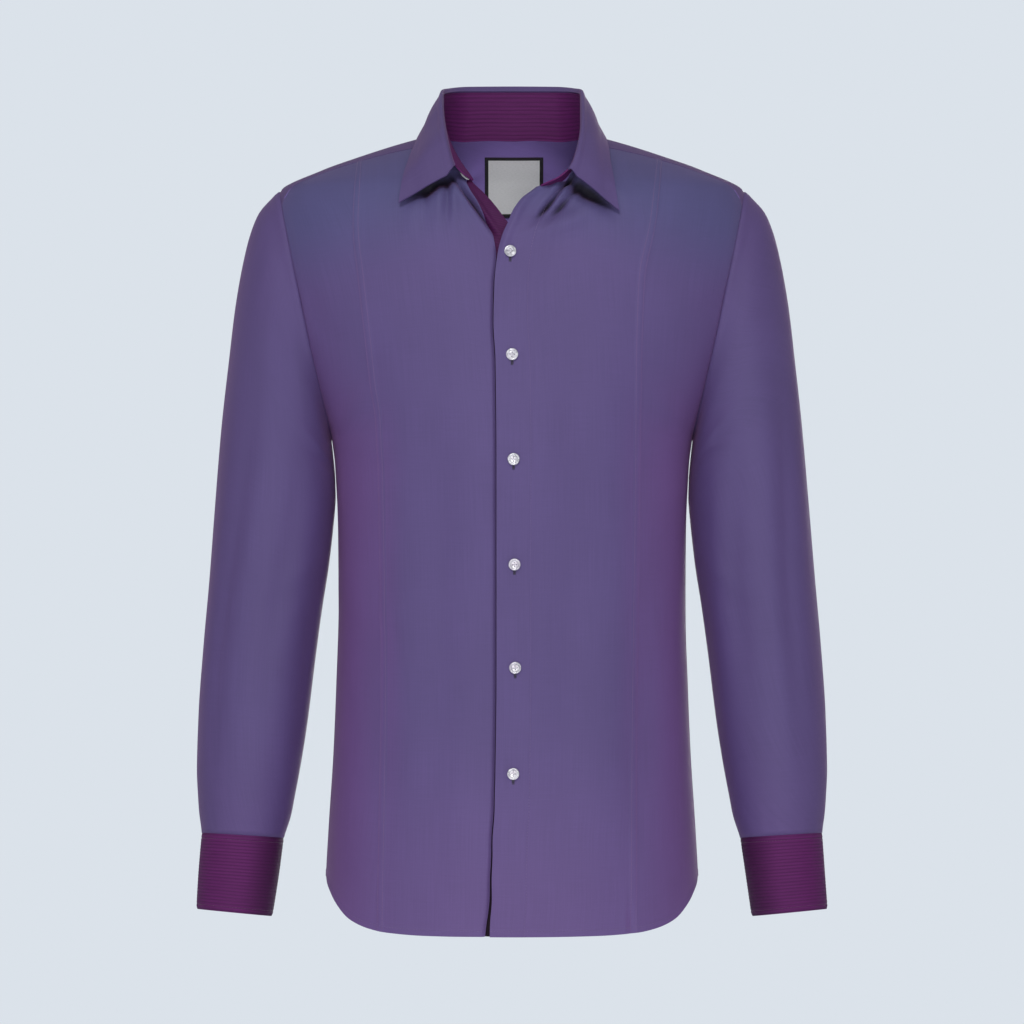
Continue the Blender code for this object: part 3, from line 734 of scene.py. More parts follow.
def make_shot_cloth(name, painted_light_level=1.0, inside_painted_light=1.0, steel=0.0, high_plum=0.6,
                    plum=WEFT_PLUM):
    """The colour follows the cloth's own direction and height: the shot cloth's sheen, painted.
    It is bluer facing forward and plum turned to the side. Near the shoulders the fronts are
    painted a darker steel, sheen and painted shade both, and what lies above them is painted
    plum, the weft's sheen. The wrong side is what faces the middle of the garment; it can be
    painted lighter, as light for the inside. Deep folds are painted darker, as shade."""
    finish, tree, shader = new_finish(
        name, Roughness=0.62, Specular_IOR_Level=0.32, Sheen_Weight=0.13,
        Sheen_Roughness=0.40, Sheen_Tint=(0.80, 0.36, 0.70, 1))
    normal = node(tree, "NewGeometry").outputs["Normal"]
    across, forward, _ = node(tree, "SeparateXYZ", {0: normal}).outputs
    place = node(tree, "NewGeometry").outputs["Position"]
    beside, _, height = node(tree, "SeparateXYZ", {0: place}).outputs
    # painted sheen: plum where the cloth turns to the side, less near the top and none at the
    # closing
    sideways = between(tree, maths(tree, "ABSOLUTE", across), 0.34, 0.95)
    sideways = maths(tree, "MULTIPLY", sideways, between(tree, height, -0.32, -0.15, 1.0, 0.3))
    sideways = maths(tree, "MULTIPLY", sideways,
                     between(tree, maths(tree, "ABSOLUTE", beside), 0.02, 0.05))
    # painted sheen: a little bluer where the cloth faces straight forward
    facing = between(tree, maths(tree, "ABSOLUTE", forward), 0.90, 1.0)
    near_top = maths(tree, "ADD", height,
                     maths(tree, "MULTIPLY", maths(tree, "ABSOLUTE", beside), 0.3))
    colour = blend_colours(tree, maths(tree, "MULTIPLY", facing, 0.35), MIDDLE, WARP_BLUE)
    # painted light: a lighter violet towards the hem
    colour = blend_colours(tree, between(tree, height, -0.74, -0.50, 1.0, 0.0), colour, LIT_LOW_VIOLET)
    colour = blend_colours(tree, sideways, colour, plum)
    away = node(tree, "VectorMath", {0: place, 1: normal}, operation="DOT_PRODUCT").outputs["Value"]
    # painted shade and sheen: a darker steel near the shoulders, or else plum above them as the
    # weft's painted sheen
    if steel:
        colour = blend_colours(tree, between(tree, near_top, -0.10, -0.01, 0, steel), colour,
                               SHADED_SHOULDER_STEEL)
    else:
        high = maths(tree, "MULTIPLY", between(tree, height, -0.25, -0.08, 0, high_plum),
                     between(tree, away, -0.012, 0.0, 0.1, 1.0))
        colour = blend_colours(tree, high, colour, plum)
    warp_streaks = grain_noise(tree, 0.9, 60, 3)
    weft_slubs = grain_noise(tree, 30, 0.7, 3)
    blotches = grain_noise(tree, 90, 140, 2)
    level = maths(tree, "ADD", between(tree, warp_streaks, 0.3, 0.7, 0.965, 1.035),
                  between(tree, weft_slubs, 0.3, 0.7, -0.025, 0.025))
    level = maths(tree, "ADD", level, between(tree, blotches, 0.35, 0.65, -0.03, 0.03))
    weave = maths(tree, "MULTIPLY", grain_wave(tree, 0, WARP_PITCH),
                  grain_wave(tree, 1, WEFT_PITCH))
    level = maths(tree, "ADD", level, between(tree, weave, 0.0, 1.0, -0.04, 0.06))
    # painted light: the wrong side lightened as asked, and the whole copy made lighter or darker
    side = between(tree, away, -0.012, 0.0, inside_painted_light * painted_light_level, painted_light_level)
    level = maths(tree, "MULTIPLY", level, side)
    # painted shade: the deeper a fold's trough, the darker the cloth
    fold = node(tree, "Attribute", attribute_name="fold").outputs["Fac"]
    level = maths(tree, "MULTIPLY", level, between(tree, fold, -7.5, -1.6, 0.10, 1.0))
    tree.links.new(tinted(tree, colour, level), shader.inputs["Base Color"])
    soft = bump(tree, grain_noise(tree, 22, 44, 2), 0.3)
    yarns = maths(tree, "ADD", maths(tree, "MULTIPLY", warp_streaks, 0.6), weft_slubs)
    threads = bump(tree, yarns, 0.035, soft)
    tree.links.new(bump(tree, weave, 0.05, threads), shader.inputs["Normal"])
    return finish


# lighter and darker copies, painted light and shade for how each part catches the light; the yoke's
# wrong side is painted much lighter, as light inside the neck
SHOT = make_shot_cloth("shot_cloth", steel=0.85)
SHOT_SLEEVE = make_shot_cloth("shot_cloth_sleeve", 0.95, high_plum=0.7, plum=SLEEVE_PLUM)
SHOT_YOKE = make_shot_cloth("shot_cloth_yoke", 0.82, 4.2, high_plum=0.6, plum=SLEEVE_PLUM)
SHOT_LEAF = make_shot_cloth("shot_cloth_leaf", 0.92, high_plum=0.45, plum=SLEEVE_PLUM)
print("shot cloth: threads every", WARP_PITCH, "by", WEFT_PITCH, "mm")

# %% The ribbed cloth, the thread, the label and the shell of the buttons
RIB = 2.95               # millimetres from one rib of the dark cloth to the next
RIBBED_PURPLE = (0.094, 0.010, 0.092, 1)
# painted shade: the grooves between the ribs are a darker purple
GROOVE_PURPLE = (0.068, 0.007, 0.069, 1)


def make_ribbed_cloth(name, painted_light_level=1.0, low=1.0):
    """Painted shade: it is darker where it faces the body, and as dark as asked for below the
    open neck, where the button stand lies in shadow. Its rib grooves are painted darker too.
    """
    finish, tree, shader = new_finish(
        name, Roughness=0.66, Specular_IOR_Level=0.22, Sheen_Weight=0.02,
        Sheen_Roughness=0.4, Sheen_Tint=(0.7, 0.14, 0.7, 1))
    rib = grain_wave(tree, 1, RIB)
    cords = grain_wave(tree, 0, 0.55)
    colour = blend_colours(tree, between(tree, rib, 0.0, 0.62), GROOVE_PURPLE, RIBBED_PURPLE)
    level = maths(tree, "ADD", between(tree, grain_noise(tree, 30, 0.8, 3), 0.3, 0.7, 0.90, 1.10),
                  between(tree, cords, 0.0, 1.0, -0.06, 0.06))
    geometry = node(tree, "NewGeometry").outputs
    beside, _, height = node(tree, "SeparateXYZ", {0: geometry["Position"]}).outputs
    sideways = node(tree, "SeparateXYZ", {0: geometry["Normal"]}).outputs[0]
    # painted shade on the side that faces the body
    inner = maths(tree, "MULTIPLY", beside, sideways)
    level = maths(tree, "MULTIPLY", level, between(tree, inner, -0.20, -0.04, 0.55, 1.0))
    # painted shade below the open neck, as dark as asked
    level = maths(tree, "MULTIPLY", level,
                  between(tree, height, -0.125, -0.10, low * painted_light_level, painted_light_level))
    tree.links.new(tinted(tree, colour, level), shader.inputs["Base Color"])
    soft = bump(tree, grain_noise(tree, 18, 18, 2), 0.2)
    tree.links.new(bump(tree, cords, 0.06, soft), shader.inputs["Normal"])
    return finish


def make_thread(name, colour, other):
    finish, tree, shader = new_finish(name, Roughness=0.5, Specular_IOR_Level=0.4, Sheen_Weight=0.3)
    place = node(tree, "NewGeometry").outputs["Position"]
    noise = node(tree, "TexNoise", {"Vector": place, "Scale": 900.0, "Detail": 2.0}).outputs["Fac"]
    tree.links.new(blend_colours(tree, between(tree, noise, 0.35, 0.65), colour, other),
                   shader.inputs["Base Color"])
    tree.links.new(bump(tree, noise, 0.05), shader.inputs["Normal"])
    return finish


RIBBED = make_ribbed_cloth("ribbed_cloth")
# a darker copy of the ribbed cloth, near-black below the open neck: painted shade for the button
# stand in the gap beside the front edge
RIBBED_STRIP = make_ribbed_cloth("ribbed_cloth_strip", 0.62, 0.12)
PALE_THREAD = make_thread("lilac thread", (0.175, 0.072, 0.205, 1), (0.135, 0.055, 0.165, 1))
QUIET_THREAD = make_thread("violet thread", (0.125, 0.072, 0.205, 1), (0.100, 0.058, 0.170, 1))
DARK_THREAD = make_thread("plum thread", (0.12, 0.03, 0.11, 1), (0.08, 0.02, 0.08, 1))
BUTTON_THREAD = make_thread("grey thread", (0.62, 0.60, 0.66, 1), (0.45, 0.43, 0.50, 1))
# painted shade: a near-black sheet for the gap of each buttonhole slit; the bars of the front
# buttonholes use it as dark thread
SLIT_SHADE_AND_DARK_THREAD = make_thread("buttonhole slit", (0.012, 0.009, 0.024, 1), (0.022, 0.018, 0.045, 1))


def make_shell():
    finish, tree, shader = new_finish(
        "shell", Roughness=0.16, Coat_Weight=0.5, Coat_Roughness=0.08, Sheen_Weight=0.0)
    place = node(tree, "NewGeometry").outputs["Position"]
    cloud = node(tree, "TexNoise", {"Vector": place, "Scale": 190.0, "Detail": 3.0,
                                    "Distortion": 1.6}).outputs["Fac"]
    grey = blend_colours(tree, between(tree, cloud, 0.35, 0.62), (0.30, 0.30, 0.33, 1),
                         (0.66, 0.66, 0.69, 1))
    pearl = node(tree, "TexNoise", {"Vector": place, "Scale": 60.0, "Detail": 1.0}).outputs["Fac"]
    colour = blend_colours(tree, between(tree, pearl, 0.45, 0.7, 0.0, 0.35), grey,
                           (0.62, 0.55, 0.66, 1))
    tree.links.new(colour, shader.inputs["Base Color"])
    tree.links.new(bump(tree, cloud, 0.03), shader.inputs["Normal"])
    return finish


SHELL = make_shell()
print("ribs every", RIB, "mm")

# %% [markdown]
# ## Floor, light and camera
# The shirt hangs in front of a pale studio. A floor with a wall would show a line where they
# meet. Here the floor fades, away from the shirt, into the very colour that the world shows
# to the camera, so the line is gone while the shadow stays. Large soft lamps model the folds
# without harsh edges: one above, one in front, a low pink one for the hem and one behind.

# %% Set the stage
BACKDROP = (0.708, 0.761, 0.823, 1)
FLOOR_DEPTH = -1.02      # metres: well below the hem of the hanging shirt
FLOOR_REACH = 12.0
FADE_FROM, FADE_TO = 1.15, 1.7      # metres from the neck: where the floor turns to backdrop
LENS = 114.6             # millimetres, on a sensor 36 mm wide
EYE = (0, -3.0, -0.338)  # the camera: 3 m in front, about level with the shirt's middle


def make_floor_finish():
    finish, tree, shader = new_finish("floor", Roughness=0.9, Specular_IOR_Level=0.1)
    shader.inputs["Base Color"].default_value = (0.74, 0.79, 0.85, 1)
    place = node(tree, "NewGeometry").outputs["Position"]
    away = node(tree, "VectorMath", {0: place}, operation="LENGTH").outputs["Value"]
    glow = node(tree, "Emission", {"Color": BACKDROP, "Strength": 1.0}).outputs[0]
    camera_ray = node(tree, "LightPath").outputs["Is Camera Ray"]
    far = maths(tree, "MULTIPLY", camera_ray, between(tree, away, FADE_FROM, FADE_TO))
    mixed = node(tree, "MixShader", {0: far, 1: shader.outputs[0], 2: glow}).outputs[0]
    tree.links.new(mixed, tree.nodes["Material Output"].inputs["Surface"])
    return finish


def add_floor():
    corners = [(x * FLOOR_REACH, y * FLOOR_REACH, FLOOR_DEPTH)
               for x, y in ((-1, -1), (1, -1), (1, 1), (-1, 1))]
    floor = new_object("floor", corners, [(0, 1, 2, 3)])
    floor.data.materials.append(make_floor_finish())


def set_world():
    world = bpy.data.worlds.new("studio")
    bpy.context.scene.world = world
    world.use_nodes = True
    tree = world.node_tree
    rays = node(tree, "LightPath").outputs
    seen = maths(tree, "MAXIMUM", rays["Is Camera Ray"], rays["Is Transmission Ray"])
    colour = blend_colours(tree, seen, (0.42, 0.425, 0.44, 1), BACKDROP)
    tree.links.new(colour, tree.nodes["Background"].inputs["Color"])


def add_lamp(name, place, aim, size, watts, colour=(1, 1, 1)):
    lamp = bpy.data.lights.new(name, "AREA")
    lamp.shape, lamp.size, lamp.energy, lamp.color = "DISK", size, watts, colour
    result = bpy.data.objects.new(name, lamp)
    result.location = place
    result.rotation_euler = (Vector(aim) - Vector(place)).to_track_quat("-Z", "Y").to_euler()
    bpy.context.scene.collection.objects.link(result)


def add_camera():
    camera = bpy.data.cameras.new("camera")
    camera.lens = LENS
    camera.sensor_width = 36
    result = bpy.data.objects.new("camera", camera)
    result.location = EYE
    result.rotation_euler = (math.radians(90), 0, 0)
    bpy.context.scene.collection.objects.link(result)
    bpy.context.scene.camera = result


bpy.context.scene.view_settings.view_transform = "Standard"
add_floor()
set_world()
add_lamp("key", (-0.25, -2.35, 1.55), (0, 0, -0.35), 0.8, 31.5)
add_lamp("fill", (0.12, -3.35, -0.25), (0, 0, -0.5), 0.8, 21)
add_lamp("low", (0, -2.0, -0.95), (0, 0, -0.75), 0.9, 10, (1.0, 0.84, 0.92))
add_lamp("back", (0.5, 2.9, -0.25), (0, 0, -0.4), 2.2, 46)
add_camera()
print("camera, floor and four lamps are in place")

# %% [markdown]
# ## The panels of the body
# A panel is a patch between two seams. Its columns follow the seams, with extra ones close
# to them, because a flat-felled seam has a step where its folded allowance ends. Its rows
# climb from the hem, with extra ones in the hem's fold, and crowd near the ends of the
# armhole where the edge turns quickly.

# %% Columns and rows of a panel
BESIDE_SEAM = np.array([0, 0.7, 1.6, 3.0, 4.6, 6.0, 6.8, 7.6, 9.2, 11.5])
BESIDE_EDGE = np.array([0, 0.8, 1.8, 3.0, 4.4, 6.0, 7.8, 9.8, 12.0])
BESIDE_HEM = (0, 0.8, 2.3, 4.4, 5.8, 6.6, 7.6, 9.6, 12.5)
NECK_LEVEL = -18.0       # above this height the columns keep their spread
ROWS_BELOW = 96
FRONT_ROWS = 88
BACK_ROWS = 62


def degree_length(turn, height):
    """Millimetres of cloth for one degree of turn."""
    return np.linalg.norm(body(turn + 0.5, height) - body(turn - 0.5, height), axis=-1)


def neck_edge_table(side):
    """The neck edge of a front as a smooth function from turn to height."""
    height, turn = neck(side * np.linspace(1.0, abs(neck_corner(side)) - 0.01, 80))
    return curve(np.abs(turn), height)


CORNER_TURN = {side: abs(neck(neck_corner(side))[1]) for side in (-1, 1)}
NECK_EDGE = {side: neck_edge_table(side) for side in (-1, 1)}
SEAM_TURNS = np.linspace(min(CORNER_TURN.values()) - 3, 89.5, 90)
YOKE_SEAM = curve(SEAM_TURNS, yoke_front(SEAM_TURNS))


def panel_top(side):
    """The top edge of a front: the neck seam, then the yoke's front seam."""
    def top(turn):
        turn = np.abs(turn)
        return np.where(turn < CORNER_TURN[side], NECK_EDGE[side](turn), YOKE_SEAM(turn))

    return top


class Panel:
    """A patch of the body between two seams: the turn and height of each of its points."""

    def __init__(self, start, end, top, near_start, near_end,
                 between_seams, rows_above, swing):
        inner = np.linspace(0, 1, between_seams + 2)[1:-1]
        share = np.concatenate([np.zeros(len(near_start)), inner, np.ones(len(near_end))])
        offset = np.concatenate([near_start, mix(near_start[-1], -near_end[-1], inner),
                                 -near_end[::-1]])
        self.start, self.end = start, end

        def turn(height, share, offset):
            along = mix(start(height), end(height), share)
            return along + offset / degree_length(along, np.minimum(height, NECK_LEVEL))

        def where(edge, lowest, highest):
            return solve(lambda h: h - edge(turn(h, share, offset)),
                         np.full(share.shape, lowest), np.full(share.shape, highest))

        low, high = where(hem, -740, -600), where(top, -180, 6)
        underarm = UNDERARM_POINT[1]
        rows = [low + rise for rise in BESIDE_HEM]
        rows += [mix(low + BESIDE_HEM[-1], underarm, k / ROWS_BELOW)
                 for k in range(1, ROWS_BELOW + 1)]
        angles = np.radians(swing) * np.arange(1, rows_above + 1) / rows_above
        rows += [mix(underarm, high, (1 - math.cos(a)) / (1 - math.cos(math.radians(swing))))
                 for a in angles]
        self.height = np.stack(rows, axis=1)
        self.turn = turn(self.height, share[:, None], offset[:, None])
        plain = body(self.turn, self.height)
        self.from_start = walked(plain, 0)
        self.from_end = self.from_start[-1] - self.from_start
        self.from_hem = walked(plain, 1)
        self.from_top = self.from_hem[:, -1:] - self.from_hem


print("yoke seam from turn", CORNER_TURN, "neck edges ready")

# %% [markdown]
# A flat-felled seam is two folded allowances locked together by two rows of stitches, so one
# side of it stands a little proud, and its edge steps down about 7 mm from the seam. A row
# of stitches presses the cloth down a touch, and between the rows it swells.

# %% Seam shapes
LAP = 7.0
EDGE_STITCHES = 1.8      # from the edge of the yoke or a placket to the row along it
CUFF_STITCHES = 4.6
LAP_RISE = 0.42
STITCH_ROWS = (1.1, 6.2)
HEM_STITCHES = 5.2       # from the hem's edge to its row of stitches


def felled(distance, width=LAP, rise=LAP_RISE):
    """How far a felled seam stands proud, so many millimetres from its edge."""
    step = rise * (1 - smooth((distance - width + 0.5) / 0.9))
    swell = 0.14 * np.sin(np.pi * np.clip(distance / width, 0, 1)) ** 2
    pressed = sum(0.12 * np.exp(-((distance - row) / 0.7) ** 2) for row in STITCH_ROWS)
    return step + swell - pressed * (distance < width)


def sewn_in(distance, depth=0.55, reach=3.2):
    """Cloth dips where it runs into a plain seam."""
    return -depth * np.exp(-(distance / reach) ** 2)


def hem_fold(from_hem, width=6.2, rise=0.32):
    """The hem's fold, pressed down by its row of stitches."""
    pressed = 0.1 * np.exp(-((from_hem - HEM_STITCHES) / 0.7) ** 2)
    return rise * (1 - smooth((from_hem - width + 0.3) / 0.9)) - pressed


def round_corner(to_end, radius):
    """How much a round corner takes off, so many millimetres from the end."""
    arc = radius - np.sqrt(np.maximum(radius ** 2 - (radius - to_end) ** 2, 0))
    return np.where(to_end < radius, arc, 0)


print("a felled seam stands", LAP_RISE, "mm proud over", LAP, "mm")

# %% [markdown]
# ## The fronts
# Each front has a centre and a side panel, joined by a long felled seam that shapes the
# chest and waist. The left front closes over the right one. At the open neck its edge rolls
# outward, and beside it the right front sinks into a narrow groove along its button stand.

# %% Cut and shape the fronts
PLACKET = 31.0           # from the front edge to the row of stitches that holds its facing
UNDERLAP = 2.1           # how far the under layer of the closing lies below the upper one
SIDE_COLUMNS, CENTRE_COLUMNS, BACK_COLUMNS = 18, 60, 84     # between a panel's two seams
FRONT_SWING, BACK_SWING = 150, 120      # degrees: how far rows crowd towards a panel's top


def window(value, low, high, soft):
    """1 between low and high, fading to 0 over a soft margin outside."""
    return smooth((value - low + soft) / soft) * smooth((high + soft - value) / soft)


def edge_roll(panel):
    """The upper front's edge rolls outward at the neck, and flutters below the last button."""
    edge, height = panel.from_start, panel.height
    roll = 2.4 * window(height, -104, -52, 22) * np.exp(-((edge - 5) / 4.2) ** 2)
    flutter = 0.9 * np.sin(height / 14.0) * window(height, -730, -622, 20) * np.exp(-edge / 14)
    facing = 0.28 * (1 - smooth((edge - PLACKET) / 1.2))
    pressed = -0.16 * np.exp(-((edge - PLACKET + 0.6) / 0.8) ** 2)
    return roll + flutter + facing + pressed


def below_open_neck(height):
    """0 in the open neck and 1 where the fronts are closed."""
    return smooth((-92 - height) / 16)


def above_underarm(height):
    """0 below the underarm and 1 above it."""
    return smooth((height + 272) / 10)


def under_layer(panel):
    """The under front sinks below the upper one towards its button stand."""
    share = panel.from_end / (panel.from_start[-1:] + 1e-9)
    rolled = 2.3 * below_open_neck(panel.height) * np.exp(-(panel.from_end / 1.7) ** 2)
    return -UNDERLAP * smooth(1 - share / 0.35) - rolled


def side_top(turn):
    return YOKE_SEAM(np.abs(turn))


right_side = Panel(side_edge(-1), princess_turn(-1), side_top,
                   BESIDE_SEAM, BESIDE_SEAM, SIDE_COLUMNS, FRONT_ROWS, FRONT_SWING)
left_side = Panel(princess_turn(1), side_edge(1), side_top,
                  BESIDE_SEAM, BESIDE_SEAM, SIDE_COLUMNS, FRONT_ROWS, FRONT_SWING)
right_centre = Panel(princess_turn(-1), edge_turn("stand_seam", -1), panel_top(-1),
                     BESIDE_SEAM, BESIDE_EDGE, CENTRE_COLUMNS, FRONT_ROWS, FRONT_SWING)
left_centre = Panel(edge_turn("upper_edge", 1), princess_turn(1), panel_top(1),
                    BESIDE_EDGE, BESIDE_SEAM, CENTRE_COLUMNS, FRONT_ROWS, FRONT_SWING)


def dress(panel, *extra):
    out = hem_fold(panel.from_hem) + sewn_in(panel.from_top, 0.35, 2.5) + sum(extra)
    return worn(panel.turn, panel.height, out)


def outer_edge(panel, distance):
    """The outer edge is a felled side seam below the arm, and a plain armhole seam above."""
    above = above_underarm(panel.height)
    return sewn_in(distance) * above + felled(distance) * (1 - above)


add_sheet("front_right_side_cloth",
          dress(right_side, outer_edge(right_side, right_side.from_start)), SHOT)
add_sheet("front_left_side_cloth",
          dress(left_side, outer_edge(left_side, left_side.from_end)), SHOT)
add_sheet("front_right_centre_cloth",
          dress(right_centre, felled(right_centre.from_start), under_layer(right_centre)),
          SHOT, folds=body_relief(right_centre.turn, right_centre.height))
add_sheet("front_left_centre_cloth",
          dress(left_centre, felled(left_centre.from_end), edge_roll(left_centre)),
          SHOT, folds=body_relief(left_centre.turn, left_centre.height))

# %% [markdown]
# The button stand is a separate strip of the ribbed cloth, sewn to the edge of the right
# front. Only its top shows, in the open neck, with a crease where it bends, and below that
# a dark line beside the front edge: a real narrow gap, with shade also painted into the
# strip's finish.

# %% Make the button stand
STRIP_BELOW = 1.2        # the strip lies this far below the edge of the under front


def stand_top(turn):
    """The strip follows the neck seam, then ends level with the end of the collar."""
    edge_top = edge_turn("stand_edge", -1)(neck(-1)[0])
    return np.where(turn < edge_top - 0.2, NECK_EDGE[-1](np.abs(turn)), neck(-1)[0])


button_stand = Panel(edge_turn("stand_seam", -1), edge_turn("stand_edge", -1), stand_top,
                     np.zeros(1), np.zeros(1), SIDE_COLUMNS, FRONT_ROWS, FRONT_SWING)
strip_out = (-UNDERLAP - STRIP_BELOW - 2.2 * below_open_neck(button_stand.height)
             - 1.0 * np.exp(-(button_stand.from_start / 1.6) ** 2)
             + 0.35 * np.exp(-(button_stand.from_end / 2.5) ** 2))
add_sheet("button_stand_cloth", worn(button_stand.turn, button_stand.height, strip_out),
          RIBBED_STRIP)

# %% [markdown]
# ## The back and the yoke
# The back is one wide panel. The yoke is sewn on over the panels, so it stands a little
# proud of them. It is not bounded by two seams that face each other, so it has its own grid:
# from the neck out to the armhole, and from one front seam round the back to the other.

# %% Make the back


def back_start(height):
    return 180 - armhole_turn(np.minimum(height, YOKE_BACK))


def back_end(height):
    return 180 + armhole_turn(np.minimum(height, YOKE_BACK))


back = Panel(back_start, back_end, lambda turn: YOKE_BACK,
             BESIDE_SEAM, BESIDE_SEAM, BACK_COLUMNS, BACK_ROWS, BACK_SWING)
back_out = (hem_fold(back.from_hem) + sewn_in(back.from_top, 0.35, 2.5)
            + (sewn_in(back.from_start) + sewn_in(back.from_end)) * above_underarm(back.height))
add_sheet("back_cloth", worn(back.turn, back.height, back_out), SHOT)

# %% Make the yoke
YOKE_RISE = 0.15         # it stands this far proud of the panels
BACK_SEAM_REACH = 66     # degrees its back seam runs to each side, roughly
YOKE_CORNER = 0.27       # place of the neck that faces the yoke's back corner
CORNER_COLUMN = 38       # the yoke's column at that corner, counted from either front seam


def yoke_half(side, steps_across=46):
    """Turns and heights of half the yoke: from the front seam to the centre back, and out."""
    ridge = abs(solve(lambda p: -STAND["neck_y"](side * p), 0.35, 0.6))
    corner = abs(neck_corner(side))
    around = np.concatenate([np.linspace(0, 2, 13), np.linspace(2, 6, 27)[1:],
                             np.linspace(6, 15, 48)[1:]])
    place = np.interp(around, (0, 2, 6, 15), (corner, ridge, YOKE_CORNER, 0))
    in_height, in_turn = neck(side * place)
    in_turn = np.where(np.abs(in_turn) < 1e-6, 180.0, np.abs(in_turn))
    tip = SHOULDER_POINT[1]
    behind = mix(tip, YOKE_BACK, np.clip((around - 2) / 4, 0, 1) ** 1.6)
    out_height = np.where(around <= 2, mix(YOKE_END, tip, around / 2), behind)
    out_turn = np.where(around <= 2, armhole_turn(out_height), 180 - armhole_turn(out_height))
    seam_end = 180 - armhole_turn(YOKE_BACK)
    out_turn = np.where(around > 6, mix(seam_end, 180, (around - 6) / 9), out_turn)
    share = np.linspace(0, 1, steps_across)[None, :] ** 0.94
    turn = mix(in_turn[:, None], out_turn[:, None], share)
    height = mix(in_height[:, None], out_height[:, None], share)
    near_seam = np.clip(1 - around / 2, 0, 1)[:, None]
    seam_turn = mix(in_turn[0], out_turn[0], share)
    height = height + near_seam * (YOKE_SEAM(seam_turn) - mix(in_height[0], out_height[0], share))
    return side * turn, height


def make_yoke():
    left_turn, left_height = yoke_half(1)
    right_turn, right_height = yoke_half(-1)
    turn = np.concatenate([left_turn, 360 + right_turn[::-1][1:]])[:, ::-1]
    height = np.concatenate([left_height, right_height[::-1][1:]])[:, ::-1]
    plain = body(turn, height)
    from_seam = walked(plain, 0)
    from_seam = np.minimum(from_seam, from_seam[-1:] - from_seam)
    from_outer = walked(plain, 1)
    pressed = 0.16 * (np.exp(-((from_outer - EDGE_STITCHES) / 0.8) ** 2)
                      + np.exp(-((from_seam - EDGE_STITCHES) / 0.8) ** 2))
    behind = window(turn, 180 - BACK_SEAM_REACH, 180 + BACK_SEAM_REACH, 3)
    out = (YOKE_RISE - pressed * np.maximum(behind, 1 - behind)
           + sewn_in(from_outer, 0.6) * (1 - behind))
    return worn(turn, height, out)


yoke = make_yoke()
add_sheet("yoke_cloth", yoke, SHOT_YOKE)

# %% [markdown]
# ## Sleeves
# A sleeve is a tube that swings from the armhole to the cuff. Its folds are soft rolls that
# run down the arm, folds that fan out of the armpit, and small pleats where the fullness is
# drawn into the cuff. Their table counts degrees round the arm and millimetres down it, and
# near the middle of the arm a degree is about a millimetre, so it reads like a flat pattern.

# %% The sleeve's surface
RING_FINE = np.linspace(0, LAST_RING, 800)


def armhole_depth(height, front):
    """How far the armhole's edge stands out of its middle, on the body's surface."""
    turn = armhole_turn(height)
    return np.abs(body(np.where(front, turn, 180 - turn), height)[..., 1])


def sleeve(side, ring, turn):
    """Points of a sleeve: turn is 0 on the outside, 90 in front and 180 inside."""
    cosine, sine = np.cos(np.radians(turn)), np.sin(np.radians(turn))
    outer = (1 + cosine) / 2
    x = mix(SLEEVE["in_x"](ring), SLEEVE["out_x"](ring), outer)
    z = mix(SLEEVE["in_z"](ring), SLEEVE["out_z"](ring), outer)
    front = sine > 0
    depth = np.where(front, SLEEVE["front"](ring), SLEEVE["back"](ring)) * np.abs(sine)
    sewn = np.maximum(0, 1 - ring / 3) ** 2
    seam_height = mix(UNDERARM_POINT[1], SHOULDER_POINT[1], outer)
    depth = mix(depth, armhole_depth(seam_height, front), sewn)
    z = z + CUFF_TILT * sine * smooth((ring - 8) / 6)
    return point(side * x, -SLEEVE["forward"](ring) - np.copysign(depth, sine), z)


def down_the_arm(ring):
    """Millimetres from the armhole to a ring, along the outside of the arm."""
    outside = np.stack([SLEEVE["out_x"](RING_FINE), SLEEVE["out_z"](RING_FINE)], axis=1)
    length = np.concatenate([[0], np.cumsum(np.linalg.norm(np.diff(outside, axis=0), axis=1))])
    return np.interp(ring, RING_FINE, length)


